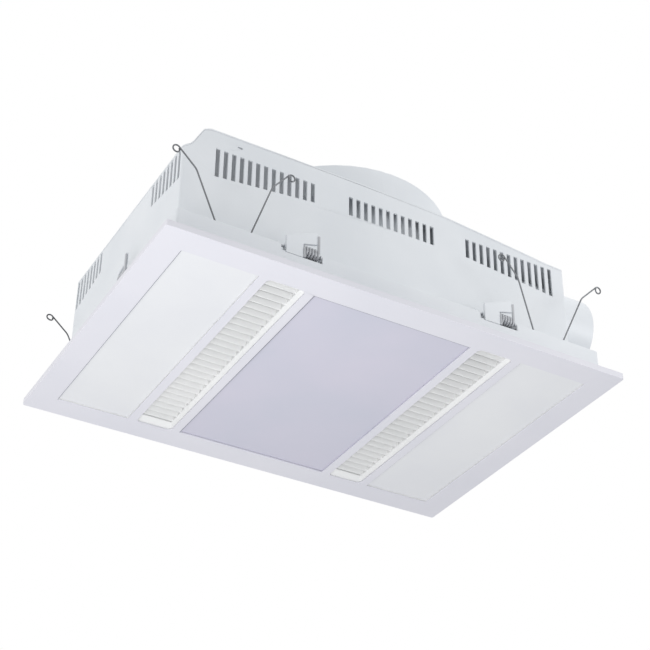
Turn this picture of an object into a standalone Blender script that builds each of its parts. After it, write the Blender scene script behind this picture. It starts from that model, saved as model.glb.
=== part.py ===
"""A ceiling heater for a bathroom: a white fascia with a light, two air grilles and two frosted heater
windows, under a slotted housing that holds the fan, with spring clamps for the ceiling board.
Metres, +Z up. The origin is the centre of the fascia's lower face, and +X points to the air outlet."""

import math

import bmesh
import bpy
from mathutils import Matrix, Vector

# Gaps and cuts
SEAT_GAP = 0.0003
OVERRUN = 0.004
MERGE_DISTANCE = 0.000001
TURN_MERGE_DISTANCE = 0.00001
SMOOTH_ANGLE = math.radians(35)
ROUND_PROFILE = 0.5

# Fascia
FASCIA_LENGTH = 0.580
FASCIA_WIDTH = 0.408
FASCIA_PLATE = 0.0022
FASCIA_RIM_HEIGHT = 0.0075
FASCIA_RIM_WALL = 0.0022
FASCIA_CORNER = 0.003
END_BORDER = 0.032
SIDE_BORDER = 0.0326
LIGHT_WINDOW_LENGTH = 0.2006
LIGHT_WINDOW_INSET = 0.0022
GRILLE_WINDOW_LENGTH = 0.046
GRILLE_WINDOW_CORNER = 0.006
WINDOW_CORNER = 0.001
BAR_WIDTH = 0.0106
FASCIA_RIB_WALL = 0.0012
FASCIA_RIB_HEIGHT = 0.003

# Base frame, the ledge that fills the ceiling cut-out
FRAME_END_MARGIN = 0.018
FRAME_SIDE_MARGIN = 0.0195
FRAME_TOP = 0.0422
FRAME_WALL = 0.0025
FRAME_SHELF = 0.0025
FRAME_CORNER = 0.004
NECK_RISE = 0.008
NECK_WALL = 0.002
LEDGE_END_DEPTH = 0.015
LEDGE_SIDE_DEPTH = 0.0332

# Housing
HOUSING_WALL = 0.0022
HOUSING_CORNER = 0.0028
LEFT_END_TOP = 0.157
ROOF_TOP = 0.1945
RIGHT_END_TOP = 0.1755
ROOF_STEP_RUN = 0.0336
ROOF_FLAT_LENGTH = 0.194
SLOT_WIDTH = 0.0052
SLOT_PITCH_SHARE = 0.0389
SLOT_TOP = 0.169
SIDE_SLOT_BOTTOM = 0.1425
SIDE_SLOT_LOW_BOTTOM = 0.129
SLOT_GROUP_SHARE = 0.642
SLOT_GROUP_OFFSET = 0.0106
END_SLOT_TOP = 0.1535
END_SLOT_BOTTOM = 0.124
END_SLOT_LOW_BOTTOM = 0.114
END_SLOT_EDGE = 0.0068
SNAP_SLOT_LENGTH = 0.006
SNAP_SLOT_HEIGHT = 0.0022
SNAP_SLOT_INSET = 0.0692
SNAP_SLOT_Z = 0.1815

# Panes
PANE_LAP = 0.0014
GLASS_THICKNESS = 0.003
GLASS_EDGE = 0.0006
DIFFUSER_THICKNESS = 0.0025

# Grille inserts
GRILLE_LAP = 0.0025
GRILLE_FLANGE = 0.0015
GRILLE_WALL = 0.0015
GRILLE_DISH_HEIGHT = 0.004
GRILLE_SIDE_BORDER = 0.004
GRILLE_END_BORDER = 0.009
GRILLE_COLLAR_HEIGHT = 0.007
GRILLE_COLLAR_WALL = 0.0011
LOUVRE_WIDTH = 0.010
LOUVRE_THICKNESS = 0.0014
LOUVRE_TILT = math.radians(34)
LOUVRE_LIFT = 0.0043
LOUVRE_BITE = 0.0008

# Light
TRAY_SHEET = 0.001
TRAY_HEIGHT = 0.0175
BOARD_THICKNESS = 0.0016
BOARD_BORDER = 0.006
CHIP_SIZE = 0.005
CHIP_HEIGHT = 0.0012
DRIVER_LENGTH = 0.110
DRIVER_WIDTH = 0.040
DRIVER_HEIGHT = 0.022
DRIVER_EDGE = 0.002

# Torsion springs that hold the fascia up
TORSION_WIRE = 0.0016
TORSION_SIDE_MARGIN = 0.0096
TORSION_LEFT_MARGIN = 0.0721
TORSION_RIGHT_MARGIN = 0.0676
TORSION_COIL_RADIUS = 0.0062
TORSION_COIL_Z = 0.0135
TORSION_PITCH = 0.00205
TORSION_ARM = 0.1046
TORSION_TIP = 0.0299
TORSION_LOOP_RADIUS = 0.0037
TORSION_BEND_RADIUS = 0.008
TORSION_ARM_ANGLE = math.radians(21.6)
TORSION_TIP_ANGLE = math.radians(43.7)
TORSION_LEFT_LEAN = math.radians(-4.5)
TORSION_RIGHT_LEAN = math.radians(0.4)
TORSION_LEFT_TILT = math.radians(5)
TORSION_RIGHT_TILT = math.radians(8)
TORSION_LOOP_SWEEP = math.radians(305)
TORSION_SLOT_LENGTH = 0.052
TORSION_SLOT_WIDTH = 0.0102
TORSION_SLOT_SKIN = 0.001
TORSION_SLOT_DROP = 0.005
BRACKET_SHEET = 0.001
BRACKET_WIDTH = 0.014
BRACKET_TOP = 0.019
BRACKET_POST_RADIUS = 0.0043
BRACKET_POST_OVERHANG = 0.0005

# Ceiling clamps
CLAMP_SPREAD_SHARE = 0.469
CLAMP_END_SHARE = 0.1626
CLAMP_OFFSET = 0.0034
NOTCH_LENGTH = 0.050
NOTCH_ROUND = 0.004
NOTCH_DEPTH = 0.0176
SWING_RADIUS = 0.0134
PIN_HEIGHT = 0.0445
PIN_INSET = 0.0067
PIN_RADIUS = 0.0015
CHEEK_WALL = 0.0035
CHEEK_FRONT = 0.003
CHEEK_BACK = 0.005
CHEEK_DROP = 0.006
CHEEK_RISE = 0.0026
LEVER_LENGTH = 0.038
LEVER_THICKNESS = 0.003
LEVER_FOOT = 0.0112
LEVER_LOW_TOP = 0.012
LEVER_HIGH_TOP = 0.0263
LEVER_BAY_HEIGHT = 0.0069
LEVER_BAY_RISE = 0.005
LEVER_BAY_LENGTH = 0.0175
BARREL_RADIUS = 0.0038
BARREL_END_INSET = 0.0005
CLAMP_WIRE = 0.0018
CLAMP_COIL_RADIUS = 0.0066
CLAMP_LEG_REACH = 0.0225
CLAMP_COIL_CLEARANCE = 0.0004

# Heater trays, tubes and holders
REFLECTOR_SHEET = 0.001
REFLECTOR_LIP = 0.014
REFLECTOR_TOP = 0.053
REFLECTOR_SHOULDER = 0.0435
REFLECTOR_CROWN_INSET = 0.012
REFLECTOR_END_GAP = 0.0068
REFLECTOR_FLANGE = 0.0022
TUBE_RADIUS = 0.005
TUBE_Z = 0.030
TUBE_ENTRY = 0.010
TUBE_HOLE_RADIUS = 0.007
HOLDER_LENGTH = 0.0156
HOLDER_WIDTH = 0.018
HOLDER_EDGE = 0.001

# Fan housing
FAN_OFFSET_SHARE = 0.0837
FAN_SIDE_MARGIN = 0.0118
FAN_RISE = 0.0445
FAN_LIFT = 0.0198
FAN_WALL = 0.002
FAN_EDGE = 0.003
FAN_EDGE_SHARE = 0.3
LID_CLEARANCE = 0.0005
EAR_OFFSET = 0.040
EAR_WIDTH = 0.010
EAR_HEIGHT = 0.020
EAR_LIFT = 0.004

# Outlet spigot and damper
OUTLET_SIDE_MARGIN = 0.0036
OUTLET_Z = 0.118
OUTLET_RADIUS = 0.053
OUTLET_WALL = 0.002
OUTLET_REACH = 0.046
OUTLET_FLANGE_RADIUS = 0.055
OUTLET_FLANGE = 0.002
OUTLET_HOLE_CLEARANCE = 0.0004
DAMPER_RADIUS = 0.049
DAMPER_SHEET = 0.0016
DAMPER_SETBACK = 0.015
DAMPER_PIN_RISE = 0.016
DAMPER_PIN_RADIUS = 0.0015
DAMPER_PIN_SKIN = 0.0008
DAMPER_BARREL_RADIUS = 0.003
DAMPER_BARREL_INSET = 0.0042

# Impeller, shaft and motor
SCROLL_WIDTH = 0.0415
IMPELLER_LIFT = 0.011
IMPELLER_HEIGHT = 0.055
IMPELLER_SHEET = 0.002
IMPELLER_RING_WIDTH = 0.010
BLADE_COUNT = 24
BLADE_DEPTH = 0.016
BLADE_SHEET = 0.0014
BLADE_BOW = 0.0035
BLADE_LEAN = math.radians(28)
HUB_RADIUS = 0.012
HUB_DROP = 0.010
HUB_RISE = 0.010
SHAFT_RADIUS = 0.004
SHAFT_CLEARANCE = 0.0003
SHAFT_NOSE = 0.004
SHAFT_ENTRY = 0.010
MOTOR_RADIUS = 0.044
MOTOR_LIFT = 0.020
MOTOR_HEADROOM = 0.029
MOTOR_EDGE = 0.006
MOTOR_BEARING_RADIUS = 0.014
MOTOR_BEARING_DROP = 0.006
BRACKET_PLATE_RADIUS = 0.070
BRACKET_PLATE = 0.0025
BRACKET_POST_SIZE = 0.005
BRACKET_POST_CIRCLE = 0.058
INLET_STEP = 0.014
INLET_SHEET = 0.0015
INLET_THROAT_STEP = 0.006
INLET_THROAT_RISE = 0.0085
INLET_CLEARANCE = 0.0015

# Electrical pieces
TERMINAL_LENGTH = 0.039
TERMINAL_WIDTH = 0.080
TERMINAL_HEIGHT = 0.056
TERMINAL_WALL = 0.002
TERMINAL_Y = 0.045
TERMINAL_Z = 0.088
GLAND_RADIUS = 0.006
GLAND_BORE = 0.004
GLAND_NUT_RADIUS = 0.0095
GLAND_NUT_LENGTH = 0.005
GLAND_NOSE_LENGTH = 0.006
GLAND_CLEARANCE = 0.0004
CAPACITOR_LENGTH = 0.028
CAPACITOR_WIDTH = 0.050
CAPACITOR_HEIGHT = 0.032
CAPACITOR_EDGE = 0.003
CAPACITOR_Z = 0.100

# Counts and segments
SIDE_SLOT_COUNTS = (13, 12, 13)
END_SLOT_COUNT = 8
LOUVRE_COUNT = 27
CHIP_COLUMNS = 3
CHIP_ROWS = 4
TORSION_TURNS = 2
CLAMP_TURNS = 4
ROUND_STEPS = 48
HIDDEN_ROUND_STEPS = 24
SMALL_ROUND_STEPS = 10
SWING_STEPS = 12
CORNER_STEPS = 4
NUT_SIDES = 6
COIL_STEPS = 10
CLAMP_COIL_STEPS = 7
BLADE_STEPS = 2

# Outline of the roof beyond its flat stretch: share of the run and share of the drop
ROOF_SLOPE_SHARES = ((0.40, 0.16), (0.58, 0.42), (0.78, 0.72), (0.91, 0.94), (1, 1))
# Outline of the roof's step at the left end: share of the run and share of the rise
ROOF_STEP_SHARES = ((0, 0), (0.27, 0.18), (0.36, 0.29), (0.43, 0.40), (0.71, 0.88), (0.83, 0.95), (1, 1))

# Sizes that follow from the ones above
FRAME_HALF_LENGTH = FASCIA_LENGTH / 2 - FRAME_END_MARGIN
FRAME_HALF_WIDTH = FASCIA_WIDTH / 2 - FRAME_SIDE_MARGIN
FRAME_BOTTOM = FASCIA_RIM_HEIGHT + SEAT_GAP
HOUSING_HALF_LENGTH = FRAME_HALF_LENGTH - LEDGE_END_DEPTH
HOUSING_HALF_WIDTH = FRAME_HALF_WIDTH - LEDGE_SIDE_DEPTH
HOUSING_BOTTOM = FRAME_TOP + SEAT_GAP
NECK_HALF_LENGTH = HOUSING_HALF_LENGTH - HOUSING_WALL - SEAT_GAP
NECK_HALF_WIDTH = HOUSING_HALF_WIDTH - HOUSING_WALL - SEAT_GAP
TORSION_SWEEP = math.pi - 2 * TORSION_ARM_ANGLE + 2 * math.pi * TORSION_TURNS
TORSION_COIL_LENGTH = TORSION_PITCH * TORSION_SWEEP / (2 * math.pi)
TORSION_Y = FRAME_HALF_WIDTH - TORSION_SIDE_MARGIN
TORSION_COIL_HALF = TORSION_COIL_LENGTH / 2 + TORSION_WIRE / 2
TORSION_COIL_SWAY = (TORSION_COIL_RADIUS + TORSION_WIRE / 2) * math.sin(TORSION_RIGHT_TILT)
BRACKET_FACE_Y = TORSION_Y + TORSION_COIL_HALF + TORSION_COIL_SWAY + SEAT_GAP
WINDOW_HALF_WIDTH = FASCIA_WIDTH / 2 - SIDE_BORDER
LIGHT_HALF_WIDTH = WINDOW_HALF_WIDTH - LIGHT_WINDOW_INSET
GRILLE_X = LIGHT_WINDOW_LENGTH / 2 + BAR_WIDTH + GRILLE_WINDOW_LENGTH / 2
HEATER_INNER_X = GRILLE_X + GRILLE_WINDOW_LENGTH / 2 + BAR_WIDTH
HEATER_OUTER_X = FASCIA_LENGTH / 2 - END_BORDER
HEATER_X = (HEATER_INNER_X + HEATER_OUTER_X) / 2
HEATER_WINDOW_LENGTH = HEATER_OUTER_X - HEATER_INNER_X
PANE_Z = FASCIA_PLATE + SEAT_GAP
CLAMP_X = FRAME_HALF_LENGTH * CLAMP_SPREAD_SHARE
CLAMP_END_Y = FRAME_HALF_WIDTH * CLAMP_END_SHARE
SLOT_PITCH = HOUSING_HALF_LENGTH * SLOT_PITCH_SHARE
SLOT_GROUP_SPACING = HOUSING_HALF_LENGTH * SLOT_GROUP_SHARE
SNAP_X = SNAP_SLOT_INSET - HOUSING_HALF_LENGTH
FAN_X = HOUSING_HALF_LENGTH * FAN_OFFSET_SHARE
FAN_RADIUS = HOUSING_HALF_WIDTH - FAN_SIDE_MARGIN
FAN_TOP = ROOF_TOP + FAN_RISE
FAN_BOTTOM = FRAME_TOP + FAN_LIFT
OUTLET_Y = OUTLET_RADIUS + OUTLET_SIDE_MARGIN + HOUSING_WALL - HOUSING_HALF_WIDTH
IMPELLER_RADIUS = FAN_RADIUS - SCROLL_WIDTH
IMPELLER_BOTTOM = FAN_BOTTOM + IMPELLER_LIFT
IMPELLER_TOP = IMPELLER_BOTTOM + IMPELLER_HEIGHT
MOTOR_BOTTOM = IMPELLER_TOP + MOTOR_LIFT
MOTOR_TOP = FAN_TOP - MOTOR_HEADROOM
INLET_RADIUS = IMPELLER_RADIUS - INLET_STEP
INLET_FLANGE_RADIUS = INLET_RADIUS + INLET_STEP
INLET_THROAT_RADIUS = INLET_RADIUS - INLET_THROAT_STEP
INLET_THROAT_TOP = FAN_BOTTOM + INLET_THROAT_RISE

WHITE_SHELL = (0.80, 0.80, 0.82)
WHITE_FASCIA = (0.83, 0.83, 0.88)
WHITE_GRILLE = (0.86, 0.87, 0.86)
FROSTED = (0.82, 0.85, 0.88)
MILKY = (0.66, 0.67, 0.76)
STEEL = (0.42, 0.42, 0.43)
ZINC = (0.62, 0.63, 0.65)
BRIGHT = (0.85, 0.85, 0.86)
CERAMIC = (0.78, 0.74, 0.66)
QUARTZ = (0.80, 0.76, 0.70)
BOARD_WHITE = (0.83, 0.84, 0.82)
BLACK_PLASTIC = (0.05, 0.05, 0.055)
GREY_PLASTIC = (0.35, 0.36, 0.38)


def clear_scene():
    for obj in list(bpy.data.objects):
        bpy.data.objects.remove(obj, do_unlink=True)


def new_collection(name):
    collection = bpy.data.collections.new(name)
    bpy.context.scene.collection.children.link(collection)
    return collection


clear_scene()
PARTS = new_collection("bathroom_ceiling_heater")
CUTTERS = new_collection("cutters")


# Finishes
def finish(name, colour, roughness, metallic=0.0):
    material = bpy.data.materials.new(name)
    material.use_nodes = True
    shader = material.node_tree.nodes["Principled BSDF"]
    shader.inputs["Base Color"].default_value = (*colour, 1.0)
    shader.inputs["Roughness"].default_value = roughness
    shader.inputs["Metallic"].default_value = metallic
    return material


FINISHES = {
    "shell": finish("white_shell", WHITE_SHELL, 0.45),
    "fascia": finish("white_fascia", WHITE_FASCIA, 0.30),
    "grille": finish("white_grille", WHITE_GRILLE, 0.38),
    "glass": finish("frosted_glass", FROSTED, 0.22),
    "diffuser": finish("milky_diffuser", MILKY, 0.28),
    "spring": finish("spring_steel", STEEL, 0.32, 1.0),
    "zinc": finish("zinc_steel", ZINC, 0.40, 1.0),
    "bright": finish("bright_aluminium", BRIGHT, 0.15, 1.0),
    "ceramic": finish("ceramic", CERAMIC, 0.60),
    "quartz": finish("quartz_tube", QUARTZ, 0.20),
    "board": finish("white_board", BOARD_WHITE, 0.50),
    "black": finish("black_plastic", BLACK_PLASTIC, 0.50),
    "grey": finish("grey_plastic", GREY_PLASTIC, 0.55),
}


# Objects, primitives and outlines
def place(name, mesh, location=(0, 0, 0)):
    obj = bpy.data.objects.new(name, mesh)
    obj.location = location
    PARTS.objects.link(obj)
    return obj


def dress(obj, key, smooth=False):
    """Gives a piece its finish, and smooth shading where it is round."""
    obj.data.materials.clear()
    obj.data.materials.append(FINISHES[key])
    if smooth:
        obj.data.shade_smooth()
        obj.data.set_sharp_from_angle(angle=SMOOTH_ANGLE)
    return obj


def blocks(name, corners):
    """One mesh of boxes, each given by its lowest and highest corner."""
    mesh = bpy.data.meshes.new(name)
    form = bmesh.new()
    for low, high in corners:
        low, high = Vector(low), Vector(high)
        made = bmesh.ops.create_cube(form, size=1)
        bmesh.ops.scale(form, vec=high - low, verts=made["verts"])
        bmesh.ops.translate(form, vec=(low + high) / 2, verts=made["verts"])
    form.to_mesh(mesh)
    form.free()
    return place(name, mesh)


def soft_box(name, size, centre, edge, segments=2):
    """A box with rounded edges, its origin at its centre."""
    mesh = bpy.data.meshes.new(name)
    form = bmesh.new()
    bmesh.ops.create_cube(form, size=1)
    bmesh.ops.scale(form, vec=size, verts=form.verts)
    bmesh.ops.bevel(
        form, geom=form.edges[:], offset=edge, segments=segments, affect="EDGES", profile=ROUND_PROFILE
    )
    form.to_mesh(mesh)
    form.free()
    return place(name, mesh, centre)


AXIS_TURNS = {
    "X": Matrix.Rotation(math.pi / 2, 4, "Y"),
    "Y": Matrix.Rotation(-math.pi / 2, 4, "X"),
    "Z": Matrix.Identity(4),
}


def rod(name, radius, length, centre, axis="Z", steps=SMALL_ROUND_STEPS):
    """A cylinder about an axis, its origin at its centre."""
    mesh = bpy.data.meshes.new(name)
    form = bmesh.new()
    bmesh.ops.create_cone(
        form,
        cap_ends=True,
        segments=steps,
        radius1=radius,
        radius2=radius,
        depth=length,
        matrix=AXIS_TURNS[axis],
    )
    form.to_mesh(mesh)
    form.free()
    return place(name, mesh, centre)


def turned(name, profile, centre, axis="Z", steps=ROUND_STEPS, closed=True):
    """A turned shape. The profile is (radius, height) down its outer side, and closed along its bore."""
    mesh = bpy.data.meshes.new(name)
    form = bmesh.new()
    points = [form.verts.new((radius, 0, height)) for radius, height in profile]
    ends = points[1:] + points[:1] if closed else points[1:]
    for start, end in zip(points, ends):
        form.edges.new((start, end))
    form.to_mesh(mesh)
    form.free()
    obj = place(name, mesh, centre)
    obj.matrix_world = Matrix.Translation(centre) @ AXIS_TURNS[axis]
    screw = obj.modifiers.new("turn", "SCREW")
    screw.axis = "Z"
    screw.steps = steps
    screw.render_steps = steps
    screw.use_merge_vertices = True
    screw.merge_threshold = TURN_MERGE_DISTANCE
    screw.use_smooth_shade = True
    return obj


def meshed(obj):
    """The mesh of a curve object, with its caps joined; the curve goes."""
    bpy.context.view_layer.update()
    graph = bpy.context.evaluated_depsgraph_get()
    mesh = bpy.data.meshes.new_from_object(obj.evaluated_get(graph))
    form = bmesh.new()
    form.from_mesh(mesh)
    bmesh.ops.remove_doubles(form, verts=form.verts, dist=MERGE_DISTANCE)
    bmesh.ops.recalc_face_normals(form, faces=form.faces)
    form.to_mesh(mesh)
    form.free()
    name, place_in_world = obj.name, obj.matrix_world.copy()
    curve = obj.data
    bpy.data.objects.remove(obj, do_unlink=True)
    bpy.data.curves.remove(curve)
    mesh.name = name
    made = place(name, mesh)
    made.matrix_world = place_in_world
    return made


PLANE_TURNS = {
    "XY": Matrix.Identity(4),
    "XZ": Matrix.Rotation(math.pi / 2, 4, "X"),
    "YZ": Matrix.Rotation(math.pi / 2, 4, "Z") @ Matrix.Rotation(math.pi / 2, 4, "X"),
}


def prism(name, outlines, low, high, plane="XY"):
    """Flat outlines, each inside the last one being a hole or an island, made solid from low to high."""
    curve = bpy.data.curves.new(name, "CURVE")
    curve.dimensions = "2D"
    curve.fill_mode = "BOTH"
    curve.extrude = (high - low) / 2
    for outline in outlines:
        spline = curve.splines.new("POLY")
        spline.points.add(len(outline) - 1)
        for point, (across, up) in zip(spline.points, outline):
            point.co = (across, up, 0, 1)
        spline.use_cyclic_u = True
    obj = bpy.data.objects.new(name, curve)
    PARTS.objects.link(obj)
    middle = (low + high) / 2
    shift = {"XY": (0, 0, middle), "XZ": (0, middle, 0), "YZ": (middle, 0, 0)}[plane]
    obj.matrix_world = Matrix.Translation(shift) @ PLANE_TURNS[plane]
    return meshed(obj)


def rounded(half_length, half_width, radius, centre=(0, 0), steps=CORNER_STEPS):
    """The outline of a rectangle with round corners."""
    points = []
    for corner in range(4):
        side_x = 1 if corner in (0, 3) else -1
        side_y = 1 if corner in (0, 1) else -1
        middle_x = centre[0] + side_x * (half_length - radius)
        middle_y = centre[1] + side_y * (half_width - radius)
        for step in range(steps + 1):
            angle = math.pi / 2 * (corner + step / steps)
            points.append((middle_x + radius * math.cos(angle), middle_y + radius * math.sin(angle)))
    return points


def mirrored(outline, side):
    return [(side * across, up) for across, up in outline]


def combine(target, tool, operation="DIFFERENCE"):
    """Cuts, joins or trims one piece with another, which becomes a hidden cutter."""
    modifier = target.modifiers.new(tool.name, "BOOLEAN")
    modifier.operation = operation
    modifier.object = tool
    modifier.solver = "EXACT"
    if tool.name in PARTS.objects:
        PARTS.objects.unlink(tool)
        CUTTERS.objects.link(tool)
    tool.hide_render = True
    tool.display_type = "WIRE"
    return target


def join(target, tool):
    return combine(target, tool, "UNION")


def wire(name, points, thickness, location=(0, 0, 0)):
    """A bent wire along its points, with closed ends."""
    curve = bpy.data.curves.new(name, "CURVE")
    curve.dimensions = "3D"
    curve.bevel_depth = thickness / 2
    curve.bevel_resolution = 1
    curve.use_fill_caps = True
    spline = curve.splines.new("POLY")
    spline.points.add(len(points) - 1)
    for point, place_of in zip(spline.points, points):
        point.co = (*place_of, 1)
    obj = bpy.data.objects.new(name, curve)
    obj.location = location
    PARTS.objects.link(obj)
    return obj


def least_gap(points, thickness):
    """The least gap of a wire to itself, away from its own next stretch."""
    reach = [0.0]
    for start, end in zip(points, points[1:]):
        reach.append(reach[-1] + (Vector(end) - Vector(start)).length)
    gaps = [
        (Vector(points[i]) - Vector(points[j])).length - thickness
        for i in range(len(points))
        for j in range(i + 1, len(points))
        if reach[j] - reach[i] > 5 * thickness
    ]
    return min(gaps)


# Fascia
def window_outlines():
    """The outlines of the five windows."""
    heater_half = HEATER_WINDOW_LENGTH / 2
    grille_half = GRILLE_WINDOW_LENGTH / 2
    half_width = WINDOW_HALF_WIDTH
    outlines = [rounded(LIGHT_WINDOW_LENGTH / 2, LIGHT_HALF_WIDTH, WINDOW_CORNER)]
    for side in (-1, 1):
        outlines.append(rounded(heater_half, half_width, WINDOW_CORNER, (side * HEATER_X, 0)))
        outlines.append(rounded(grille_half, half_width, GRILLE_WINDOW_CORNER, (side * GRILLE_X, 0)))
    return outlines


def inset(half_length, half_width, radius, wall):
    """A round-cornered outline drawn in by a wall's thickness."""
    return rounded(half_length - wall, half_width - wall, radius - wall)


def make_fascia():
    outer = rounded(FASCIA_LENGTH / 2, FASCIA_WIDTH / 2, FASCIA_CORNER)
    panel = prism("fascia_panel", [outer], 0, FASCIA_RIM_HEIGHT)
    inside = inset(FASCIA_LENGTH / 2, FASCIA_WIDTH / 2, FASCIA_CORNER, FASCIA_RIM_WALL)
    ring_outer = rounded(FRAME_HALF_LENGTH, FRAME_HALF_WIDTH, FRAME_CORNER)
    ring_inner = inset(FRAME_HALF_LENGTH, FRAME_HALF_WIDTH, FRAME_CORNER, FRAME_WALL)
    top = FASCIA_RIM_HEIGHT + OVERRUN
    combine(panel, prism("fascia_recess", [inside, ring_outer, ring_inner], FASCIA_PLATE, top))
    combine(panel, prism("fascia_windows", window_outlines(), -OVERRUN, top))
    ribs = []
    rib_foot = FASCIA_PLATE - FASCIA_PLATE / 2
    rib_top = FASCIA_PLATE + FASCIA_RIB_HEIGHT
    rib_half = WINDOW_HALF_WIDTH - FASCIA_RIB_HEIGHT
    glass_half = HEATER_WINDOW_LENGTH / 2 + PANE_LAP + SEAT_GAP
    tray_half = LIGHT_WINDOW_LENGTH / 2 + PANE_LAP + 2 * SEAT_GAP + TRAY_SHEET
    for side in (-1, 1):
        edges = (
            side * (HEATER_X - glass_half - FASCIA_RIB_WALL / 2),
            side * (HEATER_X + glass_half + FASCIA_RIB_WALL / 2),
            side * (tray_half + FASCIA_RIB_WALL / 2),
        )
        for middle in edges:
            low = (middle - FASCIA_RIB_WALL / 2, -rib_half, rib_foot)
            high = (middle + FASCIA_RIB_WALL / 2, rib_half, rib_top)
            ribs.append((low, high))
    join(panel, blocks("fascia_ribs", ribs))
    return dress(panel, "fascia")


def make_pane(name, middle_x, window_length, half_width, thickness, key):
    size = (window_length + 2 * PANE_LAP, 2 * (half_width + PANE_LAP), thickness)
    pane = soft_box(name, size, (middle_x, 0, PANE_Z + thickness / 2), GLASS_EDGE, 1)
    return dress(pane, key)


def make_grille(name, side):
    """A dished insert whose floor is a row of slanted louvres."""
    half = GRILLE_WINDOW_LENGTH / 2
    half_y = WINDOW_HALF_WIDTH
    inner = half - GRILLE_SIDE_BORDER
    inner_y = half_y - GRILLE_END_BORDER
    dish_top = PANE_Z + GRILLE_DISH_HEIGHT
    collar_top = dish_top + GRILLE_COLLAR_HEIGHT
    flange = rounded(half + GRILLE_LAP, half_y + GRILLE_LAP, GRILLE_WINDOW_CORNER)
    grille = prism(name, [flange], PANE_Z, PANE_Z + GRILLE_FLANGE)
    join(grille, dish(name + "_dish", (half, half_y), (inner, inner_y), GRILLE_WALL, -GRILLE_FLANGE / 2))
    collar = rounded(inner + GRILLE_COLLAR_WALL, inner_y + GRILLE_COLLAR_WALL, WINDOW_CORNER)
    join(grille, prism(name + "_collar", [collar], dish_top - 2 * GRILLE_FLANGE, collar_top))
    combine(grille, dish(name + "_bowl", (half, half_y), (inner, inner_y), 0, GRILLE_WALL))
    opening = rounded(inner, inner_y, WINDOW_CORNER)
    combine(grille, prism(name + "_opening", [opening], PANE_Z, collar_top + OVERRUN))
    join(grille, louvres(name + "_louvres", inner + LOUVRE_BITE, inner_y, PANE_Z + LOUVRE_LIFT))
    for piece in [grille] + [modifier.object for modifier in grille.modifiers]:
        piece.location.x += side * GRILLE_X
    return dress(grille, "grille")


def dish(name, low_half, high_half, grow, overrun):
    """A block of the dish's height that narrows upwards, carried on by an overrun at both ends."""
    slopes = [(low - high) / GRILLE_DISH_HEIGHT for low, high in zip(low_half, high_half)]
    mesh = bpy.data.meshes.new(name)
    form = bmesh.new()
    bmesh.ops.create_cube(form, size=2)
    for vert in form.verts:
        lift = GRILLE_DISH_HEIGHT + overrun if vert.co.z > 0 else -overrun
        vert.co.x *= low_half[0] + grow - slopes[0] * lift
        vert.co.y *= low_half[1] + grow - slopes[1] * lift
        vert.co.z = PANE_Z + lift
    form.to_mesh(mesh)
    form.free()
    return place(name, mesh)


def louvres(name, half_length, half_span, height):
    """Slats across X, each turned about its own long axis."""
    mesh = bpy.data.meshes.new(name)
    form = bmesh.new()
    pitch = 2 * half_span / LOUVRE_COUNT
    size = Vector((2 * half_length, LOUVRE_WIDTH, LOUVRE_THICKNESS))
    for index in range(LOUVRE_COUNT):
        middle = Vector((0, -half_span + pitch * index + pitch / 2, height))
        made = bmesh.ops.create_cube(form, size=1)
        bmesh.ops.scale(form, vec=size, verts=made["verts"])
        bmesh.ops.rotate(form, matrix=Matrix.Rotation(-LOUVRE_TILT, 3, "X"), verts=made["verts"])
        bmesh.ops.translate(form, vec=middle, verts=made["verts"])
    form.to_mesh(mesh)
    form.free()
    return place(name, mesh)


# Light
def make_light():
    half = LIGHT_WINDOW_LENGTH / 2 + PANE_LAP + SEAT_GAP
    half_y = LIGHT_HALF_WIDTH + PANE_LAP + SEAT_GAP
    low = PANE_Z
    high = low + TRAY_HEIGHT
    wall, wall_y = half + TRAY_SHEET, half_y + TRAY_SHEET
    tray = blocks("light_tray", [((-wall, -wall_y, low), (wall, wall_y, high))])
    inside = [((-half, -half_y, low - OVERRUN), (half, half_y, high - TRAY_SHEET))]
    combine(tray, blocks("light_tray_inside", inside))
    dress(tray, "zinc")

    board_high = high - TRAY_SHEET - SEAT_GAP
    board_low = board_high - BOARD_THICKNESS
    reach = half - BOARD_BORDER
    reach_y = half_y - BOARD_BORDER
    board = blocks("light_board", [((-reach, -reach_y, board_low), (reach, reach_y, board_high))])
    chips = []
    for column in range(CHIP_COLUMNS):
        for row in range(CHIP_ROWS):
            x = reach * ((2 * column + 1) / CHIP_COLUMNS - 1)
            y = reach_y * ((2 * row + 1) / CHIP_ROWS - 1)
            chip_low = (x - CHIP_SIZE / 2, y - CHIP_SIZE / 2, board_low - CHIP_HEIGHT)
            chip_high = (x + CHIP_SIZE / 2, y + CHIP_SIZE / 2, board_low + BOARD_THICKNESS / 2)
            chips.append((chip_low, chip_high))
    join(board, blocks("light_chips", chips))
    dress(board, "board")

    driver_z = high + SEAT_GAP + DRIVER_HEIGHT / 2
    driver_size = (DRIVER_LENGTH, DRIVER_WIDTH, DRIVER_HEIGHT)
    driver = soft_box("light_driver", driver_size, (0, 0, driver_z), DRIVER_EDGE)
    dress(driver, "black", smooth=True)


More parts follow.
